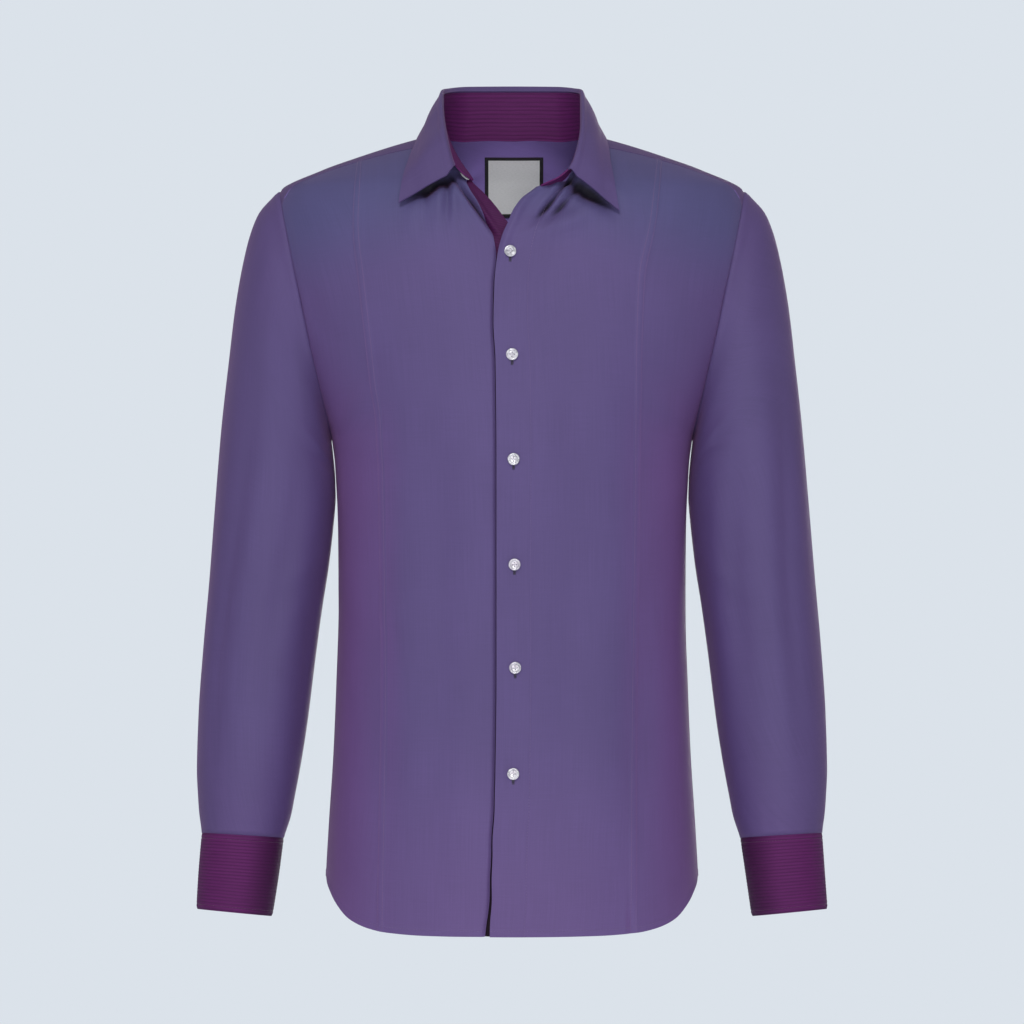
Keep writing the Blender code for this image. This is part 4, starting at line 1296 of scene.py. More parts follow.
ARM_LENGTH = float(down_the_arm(LAST_RING))
SLEEVE_FOLDS = fold_table(
    FOLD_COLUMNS,
    # long rolls down the front of the arm
    (57, 118, 55, 575, 7.5, -2.3, 3, 1.0),
    (82, 96, 76, 560, 13, 2.0, -4, 0.9),
    (33, 60, 36, 590, 12, 1.5, 4, 1.1),
    (108, 150, 104, 540, 9, -1.7, 5, 1.0),
    (134, 170, 136, 560, 11, 1.9, -3, 0.9),
    (158, 240, 156, 590, 9, -1.4, 2, 1.0),
    (12, 130, 10, 520, 13, -1.0, 3, 1.0),
    # folds that fan out of the armpit in front
    (150, 70, 70, 150, 9, 1.1, 9, 0.7),
    (156, 90, 84, 190, 8, -1.1, 8, 0.7),
    (160, 110, 96, 250, 9, 0.9, 6, 0.7),
    # bends at the elbow
    (150, 300, 92, 356, 9, 1.4, 6, 0.9),
    (146, 348, 84, 384, 9, -1.3, 6, 0.9),
    # the back of the arm
    (-62, 110, -58, 560, 11, 2.2, 4, 1.0),
    (-92, 130, -88, 540, 9, -2.0, -4, 1.0),
    (-120, 150, -118, 530, 12, 1.8, 3, 1.0),
    (-30, 90, -28, 580, 11, -1.4, -3, 1.0),
    (-150, 80, -74, 166, 9, 2.1, -8, 0.7),
    (-156, 104, -86, 214, 8, -1.9, -8, 0.7),
    (-150, 300, -66, 330, 10, 1.7, -9, 0.9),
    (-146, 338, -60, 372, 9, -1.6, -7, 0.9),
    (-132, 372, -58, 404, 9, 1.3, -6, 0.9),
    # fullness drawn into the cuff
    (-150, 640, -148, 566, 5.0, -1.2, 1, 0.5),
    (-124, 640, -126, 574, 4.6, -1.3, -1, 0.5),
    (-34, 640, -30, 560, 5.0, -1.3, 2, 0.5),
    (-12, 640, -14, 578, 4.4, -1.0, 0, 0.5),
    (22, 640, 20, 584, 4.6, -0.9, 1, 0.5),
    (47, 640, 52, 568, 4.8, -1.1, 2, 0.5),
    (74, 640, 77, 578, 4.4, -0.9, 1, 0.5),
    (112, 640, 108, 560, 5.0, -1.2, 0, 0.5),
    (146, 640, 148, 572, 4.8, -1.1, 0, 0.5))


def sleeve_relief(side, turn, down):
    """The folds of a sleeve; the two arms wear a little differently."""
    turn = (turn + 180) % 360 - 180
    drift = 7 * side * np.sin(down / 95.0)
    level = 1.0 + 0.12 * side * np.sin(down / 140.0)
    out = level * relief(SLEEVE_FOLDS, turn + drift * (down > 0), down)
    inner_seam = sewn_in(np.abs(np.abs(turn) - 178), 0.5, 2.5)
    blouse = 0.7 * np.exp(-((ARM_LENGTH - down - 20) / 15) ** 2)
    blouse = blouse + 0.3 * np.exp(-((ARM_LENGTH - down) / 3.5) ** 2)
    return (0.5 * out * smooth(down / 14) * smooth((ARM_LENGTH - down + 4) / 10)
            + inner_seam + blouse)


print("arm length from armhole to cuff:", round(ARM_LENGTH), "mm")

# %% Make the sleeves
SLEEVE_COLUMNS = 132
SLEEVE_ROWS = 142


def raise_grid(points, amount, wrapped=False):
    """Move a grid's points out along its own normals."""
    around = np.concatenate([points[-2:-1], points, points[1:2]]) if wrapped else points
    across, along = np.gradient(around, axis=0), np.gradient(around, axis=1)
    normal = unit(np.cross(across, along))
    if wrapped:
        normal = normal[1:-1]
    return points + normal * np.asarray(amount)[..., None]


def sleeve_grid(side):
    """Rings, turns and folds of a sleeve."""
    lengths = np.linspace(0, ARM_LENGTH, SLEEVE_ROWS)
    ring = np.interp(lengths, down_the_arm(RING_FINE), RING_FINE)[::-1]
    turn = -side * np.linspace(0, 360, SLEEVE_COLUMNS + 1)
    ring, turn = np.broadcast_arrays(ring[None, :], turn[:, None])
    return ring, turn, sleeve_relief(side, turn, down_the_arm(ring))


def sleeve_cloth(side):
    """A sleeve, with narrow allowances inside its armhole seam and inside its cuff."""
    ring, turn, out = sleeve_grid(side)
    seam_ridge = 0.55 * np.exp(-((down_the_arm(ring) - 3.0) / 4.0) ** 2)
    points = raise_grid(sleeve(side, ring, turn), out + seam_ridge, wrapped=True)
    tucked = points[:, -1:] * np.array([0.988, 0.97, 1.0])
    middle = points[:-1, :1].mean(axis=0)
    into_cuff = mix(points[:, :1], middle, 0.065) - np.array([0, 0, 0.3])
    inside_cuff = into_cuff - np.array([0, 0, 2.5])
    return np.concatenate([inside_cuff, into_cuff, points, tucked], axis=1)


def add_tube(name, points, finish, wall=CLOTH_WALL):
    """Cloth through a grid whose last column meets its first one."""
    columns, rows = points.shape[:2]
    i, j = (a.ravel() for a in np.meshgrid(np.arange(columns - 1), np.arange(rows - 1),
                                           indexing="ij"))
    after = (i + 1) % (columns - 1)
    faces = np.stack([i * rows + j, after * rows + j, after * rows + j + 1, i * rows + j + 1],
                     axis=1)
    obj = new_object(name, points[:-1].reshape(-1, 3) * MM, faces)
    u, v = walked(points, 0), np.broadcast_to(walked(points, 1).mean(axis=0), points.shape[:2])
    corners = [(i, j), (i + 1, j), (i + 1, j + 1), (i, j + 1)]
    at = np.stack([np.stack([u[c], v[c]], axis=1) for c in corners], axis=1) * MM
    layer = obj.data.uv_layers.new(name="grain")
    layer.uv.foreach_set("vector", at.reshape(-1, 2).astype(np.float32).ravel())
    give_wall(obj, wall, even=False)
    finish_cloth(obj, points, finish)


for side_name, side_sign in SIDES.items():
    add_tube(f"sleeve_{side_name}_cloth", sleeve_cloth(side_sign), SHOT_SLEEVE)

# %% [markdown]
# The sleeve opens above the cuff in a narrow placket, a strip laid on the sleeve and
# stitched round. It rides over the sleeve's folds, so it is made from the same surface,
# lifted clear of it.

# %% Make the sleeve plackets
CUFF_OPENING = 300.0
PLACKET_TOP_RING = 11.0


def placket_surface(side, wide, ring, lift):
    """Points of the strip: wide is 0 to 1 across it."""
    turn = CUFF_OPENING + 30 * wide
    points = sleeve(side, ring, turn)
    out = sleeve_relief(side, turn, down_the_arm(ring)) + lift
    order = points[::-1] if side > 0 else points
    return raise_grid(order, out[::-1] if side > 0 else out)


def make_placket(side):
    wide, ring = np.meshgrid(np.linspace(0, 1, 17), np.linspace(LAST_RING, PLACKET_TOP_RING, 44),
                             indexing="ij")
    peak = 0.13 * (1 - np.abs(2 * wide - 1)) * smooth((13.0 - ring) / 2)
    ring = ring - peak + 0.06 * smooth((13.0 - ring) / 2)
    edge = np.minimum(wide, 1 - wide) * 26
    pressed = -0.14 * np.exp(-((edge - EDGE_STITCHES) / 0.8) ** 2)
    return placket_surface(side, wide, ring, 1.05 + pressed)


for side_name, side_sign in SIDES.items():
    add_sheet(f"sleeve_placket_{side_name}_cloth", make_placket(side_sign), SHOT)

# %% [markdown]
# ## Cuffs
# The cuffs are cut from the dark cloth, whose ribs run round the wrist. Ribs this wide catch
# the light, so they are real waves in the sheet and not only a bump in the finish. A cuff
# is stiffened, so it keeps a clean barrel form, and its over end lies on the under end.

# %% Make the cuffs
CUFF_WRAP = 396.0
CUFF_CLIMB = 288.0
RIB_HEIGHT = 0.085
CUFF_CORNER = 8.0        # the radius of its round corners
WRAP_SCALE = 0.62        # roughly the millimetres of cuff in one degree
CUFF_HEIGHT = float(np.hypot(CUFF["out_z"](1.0) - CUFF["out_z"](0.0),
                             CUFF["out_x"](1.0) - CUFF["out_x"](0.0)))


def cuff(side, down, turn, out=0.0):
    """Points of a cuff; down is 0 at its seam with the sleeve and 1 at its edge."""
    cosine, sine = np.cos(np.radians(turn)), np.sin(np.radians(turn))
    half_x = (CUFF["out_x"](down) - CUFF["in_x"](down)) / 2
    half_z = (CUFF["out_z"](down) - CUFF["in_z"](down)) / 2
    radius = np.hypot(half_x, half_z)
    reach = (radius + out) / radius * cosine
    x = (CUFF["out_x"](down) + CUFF["in_x"](down)) / 2 + half_x * reach
    z = (CUFF["out_z"](down) + CUFF["in_z"](down)) / 2 + half_z * reach
    y = -CUFF["forward"](down) - (CUFF["depth"](down) + out) * sine
    return point(side * x, y, z + CUFF_TILT * sine)


def cuff_lift(wrap):
    """The over end climbs onto the under end while the cuff comes round to it."""
    return 1.95 * smooth((wrap - CUFF_CLIMB) / (360 - CUFF_CLIMB))


def ribs(millimetres):
    return RIB_HEIGHT * np.cos(2 * np.pi * millimetres / RIB)


def cuff_grid():
    """The wrap and drop of a cuff's points, with round corners at its over end."""
    wrap = np.linspace(0, CUFF_WRAP, 150)[:, None]
    share = np.linspace(0, 1, 122)[None, :]
    cut = round_corner((CUFF_WRAP - wrap) * WRAP_SCALE, CUFF_CORNER)
    down = (1 - cut / CUFF_HEIGHT) * share
    return np.broadcast_to(wrap, down.shape), down


def make_cuff(side):
    wrap, down = cuff_grid()
    drop = down * CUFF_HEIGHT
    edges = np.minimum(drop, CUFF_HEIGHT - drop)
    soft = 0.5 * np.sin(np.radians(wrap) * 2 + side) * np.sin(np.pi * down)
    pressed = -0.25 * np.exp(-((edges - CUFF_STITCHES) / 0.8) ** 2)
    rounded = (-0.25 * np.exp(-(drop / 1.6) ** 2)
               - 0.9 * np.exp(-((CUFF_HEIGHT - drop) / 1.6) ** 2))
    out = cuff_lift(wrap) + ribs(drop) * smooth(edges / 2) + soft + pressed + rounded
    points = cuff(side, down, CUFF_OPENING + wrap, out)[:, ::-1]
    return points[::-1] if side > 0 else points


for side_name, side_sign in SIDES.items():
    add_sheet(f"cuff_{side_name}_cloth", make_cuff(side_sign), RIBBED,
          FUSED_WALL, FUSED_EDGE)

# %% [markdown]
# ## Collar
# The stand is a band that rises from the neck seam, and the leaf folds over its top and
# falls to two points. A real collar never folds sharply: its crest is a round roll of a few
# millimetres. That roll is a curve through three points, which keeps it smooth wherever the
# crest's own curve goes.

# %% Make the collar stand
STAND_FOOT = -0.4        # the stand's lower edge takes in the neck edge of the panels
STAND_CORNER = 7.0       # the radius of its round ends
PLACE_SCALE = 210        # roughly the millimetres of stand in one unit of place


def column_points(table, prefix, place):
    return point(*(table[f"{prefix}_{axis}"](place) for axis in "xyz"))


def stand(place, up):
    """Points of the collar stand; up is 0 at the neck seam and 1 at its top."""
    base = point(STAND["neck_x"](place), STAND["neck_y"](place), neck(place)[0])
    top = column_points(STAND, "top", place)
    base = base + unit(top - base) * STAND_FOOT
    return mix(base, top, np.asarray(up)[..., None])


def make_stand():
    place = np.linspace(-1, 1, 190)
    up = np.linspace(0, 1, 104)
    place, up = np.meshgrid(place, up, indexing="ij")
    cut = round_corner((1 - np.abs(place)) * PLACE_SCALE, STAND_CORNER)
    points = stand(place, up)
    tall = np.linalg.norm(points[:, -1] - points[:, 0], axis=-1)[:, None]
    up = up * (1 - 0.6 * cut / np.maximum(tall, 12))
    points = stand(place, up)
    rise = up * tall
    edges = np.minimum(rise, tall - rise)
    out = ribs(rise) * 0.5 * smooth(edges / 2) - 0.2 * np.exp(-((rise - 2.0) / 0.8) ** 2)
    return raise_grid(points, out)


add_sheet("collar_stand_cloth", make_stand(), RIBBED,
          FUSED_WALL, FUSED_EDGE)

# %% Make the collar leaf
LEAF_ROLL = 1.8          # the leaf bulges out as it falls from its crest
CREST_ROUND = 0.11       # share of the drop that takes part in the roll


def leaf(place, down):
    """Points of the collar leaf: -1 at the stand's top, 0 on the crest, 1 at the outer edge."""
    crest, edge = column_points(LEAF, "crest", place), column_points(LEAF, "edge", place)
    foot = stand(place, 1.0)
    foot = foot + unit(foot - stand(place, 0.0)) * 0.8
    level = crest * np.array([1, 1, 0])
    bulge = LEAF_ROLL * np.sin(np.pi * np.clip(down / 0.7, 0, 1))

    def falling(down):
        return mix(crest, edge, down[..., None])

    fall = falling(np.maximum(down, 0)) + unit(level) * bulge[..., None]
    inside = mix(crest, foot, np.maximum(-down, 0)[..., None])
    return np.where(down[..., None] < 0, inside, fall)


def rolled_leaf(place, down):
    """The same leaf with a round crest in place of the sharp one."""
    before, after = np.full(down.shape, -0.9), np.full(down.shape, CREST_ROUND)
    t = np.where(down < 0, 0.5 * (down + 0.9) / 0.9, 0.5 + 0.5 * down / CREST_ROUND)[..., None]
    crest = leaf(place, np.zeros(down.shape)) + np.array([0, 0, 5.4])
    curve_point = ((1 - t) ** 2 * leaf(place, before) + 2 * t * (1 - t) * crest
                   + t ** 2 * leaf(place, after))
    inside = (down > -0.9) & (down < CREST_ROUND)
    return np.where(inside[..., None], curve_point, leaf(place, down))


def make_leaf():
    first, last = LEAF_ENDS
    place = mix(first, last, (1 - np.cos(np.linspace(0, np.pi, 160))) / 2 * 0.35
                + 0.65 * np.linspace(0, 1, 160))
    down = np.concatenate([np.linspace(1, CREST_ROUND, 30), np.linspace(CREST_ROUND, 0, 6)[1:],
                           np.linspace(0, -1, 9)[1:]])
    place, down = np.meshgrid(place, down, indexing="ij")
    points = rolled_leaf(place, down)
    wave = 0.4 * np.sin(place * 9.0 + 0.6) * smooth(down) * window(np.abs(place), 0, 0.8, 0.12)
    point_curl = 1.3 * np.exp(-((1 - down) / 0.3) ** 2) * smooth((np.abs(place) - 0.7) / 0.2)
    return points + unit(points * np.array([1, 1, 0])) * (wave - point_curl)[..., None]


add_sheet("collar_leaf_cloth", make_leaf(), SHOT_LEAF, LEAF_WALL, LEAF_EDGE)

# %% [markdown]
# ## The neck label
# A woven label is sewn flat to the inside of the yoke. It has a black border and a pale
# ribbed field, and nothing is written on it. The border is part of the weave and not a
# frame laid on top, so the finish draws it, measured from the label's own edges.

# %% Make the label
LABEL_WIDTH, LABEL_TOP, LABEL_BOTTOM, LABEL_ACROSS = 55.5, -2.6, -56.8, 1.9
LABEL_INSIDE = 1.25      # the label lies this far inside the middle of the yoke
BORDER = 3.4


def label_points():
    across = np.linspace(LABEL_WIDTH / 2, -LABEL_WIDTH / 2, 40)
    height = np.linspace(LABEL_BOTTOM, LABEL_TOP, 40)
    across, height = np.meshgrid(across, height, indexing="ij")
    turn = 180 - turn_at(LABEL_ACROSS + across, height)
    loose = (0.35 * np.sin(np.pi * (across / LABEL_WIDTH + 0.5))
             * np.sin(np.pi * (height - LABEL_BOTTOM) / 54))
    return worn(turn, height, -LABEL_INSIDE - loose)


def make_label_cloth(width, length):
    finish, tree, shader = new_finish("label_cloth", Roughness=0.55, Specular_IOR_Level=0.35,
                                      Sheen_Weight=0.15)
    u, v, _ = node(tree, "SeparateXYZ", {0: grain(tree)}).outputs

    def to_edge(value, size):
        return maths(tree, "MINIMUM", value, maths(tree, "SUBTRACT", size * MM, value))

    edge = maths(tree, "MINIMUM", to_edge(u, width), to_edge(v, length))
    field = between(tree, edge, (BORDER - 0.15) * MM, (BORDER + 0.15) * MM)
    cords = grain_wave(tree, 1, 0.9)
    white = blend_colours(tree, cords, (0.90, 0.91, 0.93, 1), (0.97, 0.975, 0.98, 1))
    colour = blend_colours(tree, field, (0.012, 0.012, 0.014, 1), white)
    level = between(tree, grain_noise(tree, 2.5, 0.5, 2), 0.3, 0.7, 0.95, 1.05)
    tree.links.new(tinted(tree, colour, level), shader.inputs["Base Color"])
    tree.links.new(bump(tree, cords, 0.08), shader.inputs["Normal"])
    return finish


label_grid = label_points()
label_size = walked(label_grid, 0)[-1].mean(), walked(label_grid, 1)[:, -1].mean()
add_sheet("neck_label_cloth", label_grid, make_label_cloth(*label_size),
          LABEL_WALL, LABEL_EDGE)
print("label", [round(float(side), 1) for side in label_size], "mm")

# %% [markdown]
# ## Buttons
# The buttons are turned from shell: a raised rim round a shallow dish with four holes, here
# set as a diamond. The holes are cut with a boolean, so the thread really passes through
# them, and one finished button serves for all nine places. Pale thread crosses between
# opposite holes.

# %% Turn one button and sew it
BUTTON_OUTLINE = ((0.0, 1.15), (2.7, 1.15), (3.2, 1.25), (3.7, 1.7), (4.2, 1.95), (4.8, 1.9),
                  (5.2, 1.6), (5.35, 1.15), (5.2, 0.7), (4.3, 0.2), (2.8, 0.0), (0.0, 0.0))
HOLE_PLACE = 1.7
HOLE_RADIUS = 0.62


def turned_mesh(outline, steps=44):
    """An outline of radius and height turned into a closed round body."""
    angles = np.linspace(0, 2 * np.pi, steps, endpoint=False)
    radius, height = np.array(outline).T
    radius = np.maximum(radius, 1e-4)
    ring = np.stack([np.outer(np.cos(angles), radius), np.outer(np.sin(angles), radius),
                     np.broadcast_to(height, (steps, len(outline)))], axis=-1)
    closed = np.concatenate([ring, ring[:1]])
    obj = new_object("turned", closed.reshape(-1, 3) * MM, grid_faces(steps + 1, len(outline)))
    bm = bmesh.new()
    bm.from_mesh(obj.data)
    bmesh.ops.remove_doubles(bm, verts=bm.verts, dist=0.002 * MM)
    bmesh.ops.recalc_face_normals(bm, faces=bm.faces)
    bm.to_mesh(obj.data)
    bm.free()
    obj.data.shade_smooth()
    return obj


def hole_cutter():
    bm = bmesh.new()
    for k in range(4):
        spot = Vector((math.cos(k * math.pi / 2), math.sin(k * math.pi / 2), 0)) * HOLE_PLACE * MM
        made_hole = bmesh.ops.create_cone(bm, cap_ends=True, segments=14, radius1=HOLE_RADIUS * MM,
                                          radius2=HOLE_RADIUS * MM, depth=6 * MM)
        bmesh.ops.translate(bm, verts=made_hole["verts"], vec=spot)
    mesh = bpy.data.meshes.new("holes")
    bm.to_mesh(mesh)
    bm.free()
    cutter = bpy.data.objects.new("holes", mesh)
    bpy.context.scene.collection.objects.link(cutter)
    return cutter


def button_mesh():
    blank, cutter = turned_mesh(BUTTON_OUTLINE), hole_cutter()
    drill = blank.modifiers.new("drill", "BOOLEAN")
    drill.object = cutter
    drill.operation = "DIFFERENCE"
    drill.solver = "EXACT"
    bpy.context.view_layer.update()
    drilled = blank.evaluated_get(bpy.context.evaluated_depsgraph_get())
    mesh = bpy.data.meshes.new_from_object(drilled)
    for old in (blank, cutter):
        bpy.data.objects.remove(old)
    mesh.name = "button"
    mesh.materials.clear()
    mesh.materials.append(SHELL)
    mesh.shade_smooth()
    mesh.set_sharp_from_angle(angle=math.radians(38))
    return mesh


BUTTON = button_mesh()
print("button faces:", len(BUTTON.polygons))

# %% [markdown]
# ## Stitches
# A row of stitches is thousands of small loops of thread. One object per loop would be
# slow, and a painted dashed line would be flat. Here every loop is a tiny spindle, a row
# is one mesh made from arrays, and each loop is first dropped onto the finished cloth, so
# that it lies on the surface whatever fold is below it.

# %% Make rows of stitches
THREAD = 0.2             # millimetres: the thread's radius
STITCH = 2.6             # from one stitch to the next
SPINDLE = ((-0.5, 0.0), (-0.22, 1.0), (0.22, 1.0), (0.5, 0.0))


def cloth_tree(*names):
    """The finished cloth of some pieces, for dropping stitches onto."""
    graph = bpy.context.evaluated_depsgraph_get()
    corners, faces = [], []
    for name in names:
        shell = made[name].evaluated_get(graph)
        mesh = shell.to_mesh()
        first = len(corners)
        corners += [v.co.copy() for v in mesh.vertices]
        faces += [[first + i for i in p.vertices] for p in mesh.polygons]
        shell.to_mesh_clear()
    return BVHTree.FromPolygons(corners, faces)


def even_steps(line, pitch):
    """Points at even distances along a line, and the line's direction at each."""
    length = np.concatenate([[0], np.cumsum(np.linalg.norm(np.diff(line, axis=0), axis=1))])
    count = max(int(length[-1] / pitch), 1)
    at = (np.arange(count) + 0.5) * length[-1] / count
    ahead, behind = points_along(at + 0.3, length, line), points_along(at - 0.3, length, line)
    return points_along(at, length, line), unit(ahead - behind)


def dropped(points, outs, tree, reach=6.0):
    """Each point moved onto the cloth below it, and the cloth's direction there."""
    spots, normals = points.copy(), outs.copy()
    for k, (spot, out) in enumerate(zip(points, outs)):
        start = Vector((spot + out * reach) * MM)
        hit, normal, _, _ = tree.ray_cast(start, Vector(-out), 2 * reach * MM)
        if hit:
            spots[k] = np.array(hit) / MM
            normals[k] = np.array(normal) * np.sign(np.dot(normal, out))
    return spots, normals


def spindles(centres, along, normals, length, radius):
    """Vertices and faces of many small loops of thread at once."""
    side = unit(np.cross(along, normals))
    rings = []
    for share, swell in SPINDLE:
        middle = centres + along * (share * length) + normals * radius * (0.55 * swell - 0.35)
        for k in range(5):
            angle = 2 * math.pi * k / 5
            ring = (side * math.cos(angle) + normals * math.sin(angle)) * radius * max(swell, 0.15)
            rings.append(middle + ring)
    vertices = np.stack(rings, axis=1)
    one = [[r * 5 + k, r * 5 + (k + 1) % 5, (r + 1) * 5 + (k + 1) % 5, (r + 1) * 5 + k]
           for r in range(3) for k in range(5)]
    faces = np.array(one)[None] + 20 * np.arange(len(centres))[:, None, None]
    return vertices.reshape(-1, 3), faces.reshape(-1, 4)


def add_stitches(name, rows, tree, thread, pitch=STITCH, length=1.9, radius=THREAD):
    """One mesh of stitches; a row is a line of points and the directions out of the cloth."""
    centres, directions, normals = [], [], []
    for line, out in rows:
        spots, along = even_steps(line, pitch)
        share = np.linspace(0, 1, len(line))
        outs = unit(points_along(np.linspace(0, 1, len(spots)), share, out))
        spots, outs = dropped(spots, outs, tree)
        centres.append(spots)
        directions.append(along)
        normals.append(outs)
    vertices, faces = spindles(*map(np.concatenate, (centres, directions, normals)), length, radius)
    obj = new_object(name, vertices * MM, faces)
    finish_piece(obj, None, thread)
    print(f"{name}: {len(faces) // 15} stitches")


print("stitches every", STITCH, "mm, thread radius", THREAD, "mm")

# %% Rows of stitches on the body


def row_at(panel, distance, from_what, low=-730.0, high=10.0):
    """The line through a panel that keeps one distance from one of its seams."""
    lines = []
    for j in range(panel.height.shape[1]):
        away = getattr(panel, from_what)[:, j]
        order = np.argsort(away)
        lines.append([np.interp(distance, away[order], values[order, j])
                      for values in (panel.turn, panel.height)])
    turn, height = np.array(lines).T
    keep = (height > low) & (height < high)
    return turn[keep], height[keep]


def body_row(turn, height):
    """A line on the body and the direction out of it."""
    return worn(turn, height), outward(turn, height)


def hem_row(panel, distance):
    columns = range(panel.height.shape[0])
    pairs = [[np.interp(distance, panel.from_hem[i], values[i])
              for values in (panel.turn, panel.height)] for i in columns]
    return np.array(pairs).T


body_tree = cloth_tree("front_right_side_cloth", "front_left_side_cloth",
                       "front_right_centre_cloth", "front_left_centre_cloth",
                       "back_cloth", "yoke_cloth")
seam_rows = []
for row in STITCH_ROWS:
    seam_rows.append(body_row(*row_at(right_centre, row, "from_start")))
    seam_rows.append(body_row(*row_at(left_centre, row, "from_end")))
    seam_rows.append(body_row(*row_at(right_side, row, "from_start", high=-270)))
    seam_rows.append(body_row(*row_at(left_side, row, "from_end", high=-270)))
add_stitches("seam_stitches", seam_rows, body_tree, PALE_THREAD)
add_stitches("placket_stitches", [body_row(*row_at(left_centre, PLACKET - 0.6, "from_start"))],
             body_tree, QUIET_THREAD)
hem_rows = [body_row(*hem_row(panel, HEM_STITCHES))
            for panel in (right_side, left_side, right_centre, left_centre, back)]
add_stitches("hem_stitches", hem_rows, body_tree, QUIET_THREAD)


def yoke_rows():
    """Rows just inside the yoke's edge, along its two front seams and its back seam."""
    columns = yoke.shape[0]
    wide = np.array([column[np.searchsorted(walked(column[None], 1)[0], EDGE_STITCHES)]
                     for column in yoke[CORNER_COLUMN:columns - CORNER_COLUMN]])
    rows = []
    for line in (yoke[1], yoke[-2], wide):
        line = line[np.abs(line[:, 2]) > 0.1]
        rows.append((line, unit(line * np.array([1.0, 1.0, 0.0]) + np.array([0, 0, 60.0]))))
    return rows


add_stitches("yoke_stitches", yoke_rows(), body_tree, QUIET_THREAD)

# %% Rows of stitches on the cuffs, the plackets and the label


def border_rows(points, inset):
    """Lines just inside the four borders of a grid, with the direction out of the cloth."""
    across, along = np.gradient(points, axis=0), np.gradient(points, axis=1)
    normal = unit(np.cross(across, along))
    u, v = walked(points, 0), walked(points, 1)

    def line_at(table, distance, axis):
        lines = []
        for k in range(points.shape[1 - axis]):
            away = np.take(table, k, axis=1 - axis)
            line, out = np.take(points, k, axis=1 - axis), np.take(normal, k, axis=1 - axis)
            goal = distance if distance > 0 else away[-1] + distance
            lines.append([np.interp(goal, away, both[:, c])
                          for both in (line, out) for c in range(3)])
        both = np.array(lines)
        keep = slice(*np.searchsorted(np.linspace(0, 1, len(both)), (0.02, 0.98)))
        return both[keep, :3], unit(both[keep, 3:])

    return [line_at(u, inset, 0), line_at(u, -inset, 0),
            line_at(v, inset, 1), line_at(v, -inset, 1)]


for side_name, side_sign in SIDES.items():
    add_stitches(f"cuff_stitches_{side_name}", border_rows(make_cuff(side_sign), CUFF_STITCHES),
                 cloth_tree(f"cuff_{side_name}_cloth"), DARK_THREAD)
    add_stitches(f"sleeve_placket_stitches_{side_name}",
                 border_rows(make_placket(side_sign), EDGE_STITCHES)[:3],
                 cloth_tree(f"sleeve_placket_{side_name}_cloth"), PALE_THREAD)

label_rows = [(line, -out) for line, out in border_rows(label_grid, 1.2)]
add_stitches("label_stitches", label_rows, cloth_tree("neck_label_cloth"),
             DARK_THREAD, pitch=1.9, length=1.4, radius=0.13)

# %% [markdown]
# ## Buttons and buttonholes in place
# Each button sits on the cloth, turned to face straight out of it. Its buttonhole is a slit
# whose edges are covered with close bars of thread, and a near-black sheet along the slit is
# painted shade for its gap. On the front it runs up and down, and most of it hides behind the
# button, so only its lower end shows. The buttons stay closed as they are worn: a button turns
# through its hole by hand, which bends the cloth and is not a joint that a rigid part can have.

# %% Sew on the buttons
# the front's buttons, from the top down: distance to the side, and height
FRONT_BUTTONS = ((-1.7, -106.7), (0.1, -198.8), (1.4, -291.2), (2.2, -384.3), (2.8, -476.0),
                 (1.1, -569.9))
COLLAR_BUTTON = (-0.972, 0.3)       # its place along the stand, and how far up
CUFF_BUTTON = (380, 0.5)            # degrees round the cuff, and how far down
WRIST_MIDDLE = (246.0, -25.0)       # distance to the side, and depth
BUTTON_LIFT = 0.8        # the sewing thread holds a button this far off the cloth
HOLE_ABOVE, HOLE_BELOW = 4.5, 8.8


def thread_cross(rise):
    """Thread through the four holes: two bundles that cross at the middle."""
    parts = []
    for angle in (0, math.pi / 2):
        for shift in (-0.24, 0.0, 0.24):
            share = np.linspace(-1, 1, 9)
            x = share * (HOLE_PLACE + 0.1)
            arch = rise + 0.32 * (1 - share ** 4) + (0.18 if angle else 0) * (1 - share ** 2)
            line = np.stack([x, np.full(9, shift), arch], axis=1)
            turned = line @ np.array([[math.cos(angle), math.sin(angle), 0],
                                      [-math.sin(angle), math.cos(angle), 0], [0, 0, 1]])
            parts.append(turned)
    vertices, faces = [], []
    for line in parts:
        along = unit(np.gradient(line, axis=0))
        side = unit(np.cross(along, np.array([0, 0, 1.0])))
        up = np.cross(side, along)
        first = len(vertices) * 6 * 9
        ring = [line + 0.15 * (side * math.cos(a) + up * math.sin(a))
                for a in np.arange(6) * math.pi / 3]
        vertices.append(np.stack(ring, axis=1).reshape(-1, 3))
        faces += [[first + i * 6 + k, first + i * 6 + (k + 1) % 6,
                   first + (i + 1) * 6 + (k + 1) % 6, first + (i + 1) * 6 + k]
                  for i in range(8) for k in range(6)]
    return np.concatenate(vertices), faces


def add_button(name, seat, out, spin):
    """A sewn button: the shell, and its thread as a child that goes along."""
    shell = bpy.data.objects.new(f"{name}_shell", BUTTON)
    shell.location = seat * MM
    shell.rotation_euler = Vector(out).to_track_quat("Z", "Y").to_euler()
    shell.rotation_euler.rotate_axis("Z", math.radians(spin))
    bpy.context.scene.collection.objects.link(shell)
    vertices, faces = thread_cross(1.15)
    thread = new_object(f"{name}_thread", vertices * MM, faces)
    thread.data.materials.append(BUTTON_THREAD)
    thread.parent = shell
    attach(shell, "root")
    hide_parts(name)


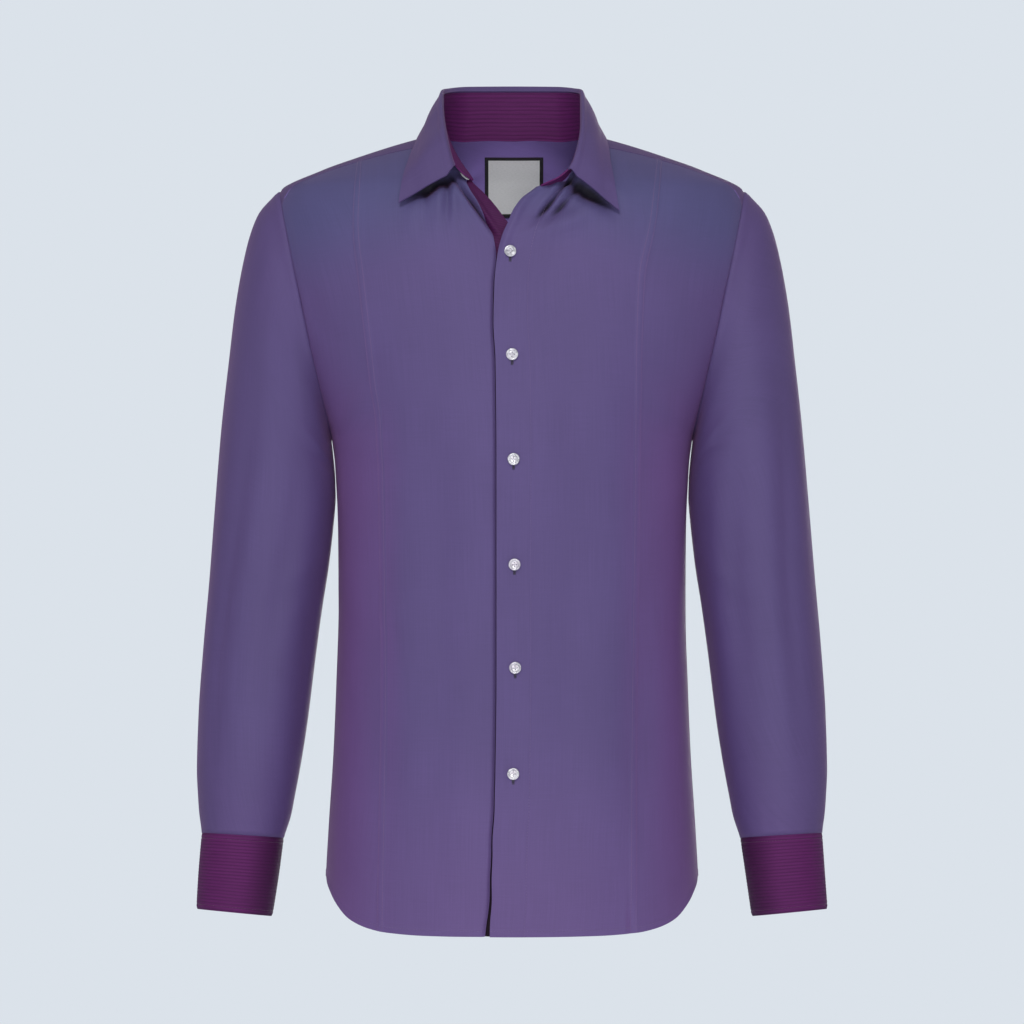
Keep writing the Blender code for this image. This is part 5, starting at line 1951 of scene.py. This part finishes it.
def add_buttonhole(name, middle, out, along, tree, thread):
    """Bars of thread on both sides of a slit; along points to its far end."""
    side = unit(np.cross(along, out))
    steps = np.arange(-HOLE_ABOVE, HOLE_BELOW, 0.42)
    centres = np.concatenate([middle + along * steps[:, None] + side * s * 0.72 for s in (-1, 1)])
    ends = np.stack([middle + along * (end + past)
                     for end, past in ((-HOLE_ABOVE, -0.4), (HOLE_BELOW, 0.3))])
    outs = np.broadcast_to(out, centres.shape).copy()
    spots, normals = dropped(centres, outs, tree)
    directions = np.broadcast_to(side, centres.shape)
    bars = spindles(spots, directions, normals, 1.35, 0.19)
    end_spots, end_normals = dropped(ends, np.broadcast_to(out, ends.shape).copy(), tree)
    caps = spindles(end_spots, np.broadcast_to(side, ends.shape), end_normals, 3.0, 0.26)
    vertices = np.concatenate([bars[0], caps[0]])
    faces = np.concatenate([bars[1], caps[1] + len(bars[0])])
    finish_piece(new_object(name, vertices * MM, faces), None, thread)
    # painted shade: a near-black sheet laid along the slit for its gap
    line, _ = dropped(middle + along * np.linspace(-HOLE_ABOVE, HOLE_BELOW, 16)[:, None],
                      np.broadcast_to(out, (16, 3)).copy(), tree)
    width = 0.5 * np.sin(np.linspace(0.15, np.pi - 0.15, 16))[:, None]
    strip = np.stack([line + side * width + out * 0.06, line - side * width + out * 0.06], axis=0)
    slit = new_object(f"{name}_slit", strip.reshape(-1, 3) * MM, grid_faces(2, 16))
    wall = slit.modifiers.new("wall", "SOLIDIFY")
    wall.thickness = 0.1 * MM
    finish_piece(slit, None, SLIT_SHADE_AND_DARK_THREAD)


UP = np.array([0.0, 0.0, 1.0])
front_tree = cloth_tree("front_left_centre_cloth")
for k, (drift, height) in enumerate(FRONT_BUTTONS):
    turn = turn_at(drift, height)
    out = outward(turn, height)
    spot, normal = dropped(worn(turn, height)[None], out[None], front_tree)
    add_button(f"front_button_{k + 1}", Vector(spot[0] + normal[0] * BUTTON_LIFT), normal[0],
               7 * math.sin(5 * k))
    down = unit(-UP + normal[0] * normal[0][2])
    add_buttonhole(f"front_buttonhole_{k + 1}", spot[0], normal[0], down, front_tree,
                   SLIT_SHADE_AND_DARK_THREAD)


def seat_on(points):
    """The middle of a small grid of surface points, and the directions out and across."""
    across, along = points[2, 1] - points[0, 1], points[1, 2] - points[1, 0]
    return points[1, 1], unit(np.cross(across, along)), unit(across)


place, up = np.meshgrid(COLLAR_BUTTON[0] + np.array([-0.02, 0, 0.02]),
                        COLLAR_BUTTON[1] + np.array([-0.2, 0, 0.2]), indexing="ij")
spot, out, _ = seat_on(stand(place, up))
out = -out
spots, normals = dropped(spot[None], out[None], cloth_tree("collar_stand_cloth"))
add_button("collar_button", Vector(spots[0] + normals[0] * BUTTON_LIFT), normals[0], 12)

for side_name, side_sign in SIDES.items():
    wrap, down = np.meshgrid(CUFF_BUTTON[0] + np.array([-6, 0, 6.0]),
                             CUFF_BUTTON[1] + np.array([-0.2, 0, 0.2]), indexing="ij")
    spot, out, across = seat_on(cuff(side_sign, down, CUFF_OPENING + wrap, cuff_lift(wrap)))
    middle = np.array([side_sign * WRIST_MIDDLE[0], WRIST_MIDDLE[1], spot[2]])
    out = out if np.dot(out, spot - middle) > 0 else -out
    tree = cloth_tree(f"cuff_{side_name}_cloth")
    spots, normals = dropped(spot[None], out[None], tree)
    add_button(f"cuff_button_{side_name}", Vector(spots[0] + normals[0] * BUTTON_LIFT),
               normals[0], 20)
    add_buttonhole(f"cuff_buttonhole_{side_name}", spots[0], normals[0], -across, tree,
                   DARK_THREAD)
print(len(FRONT_BUTTONS) + 1 + len(SIDES), "buttons are sewn on")
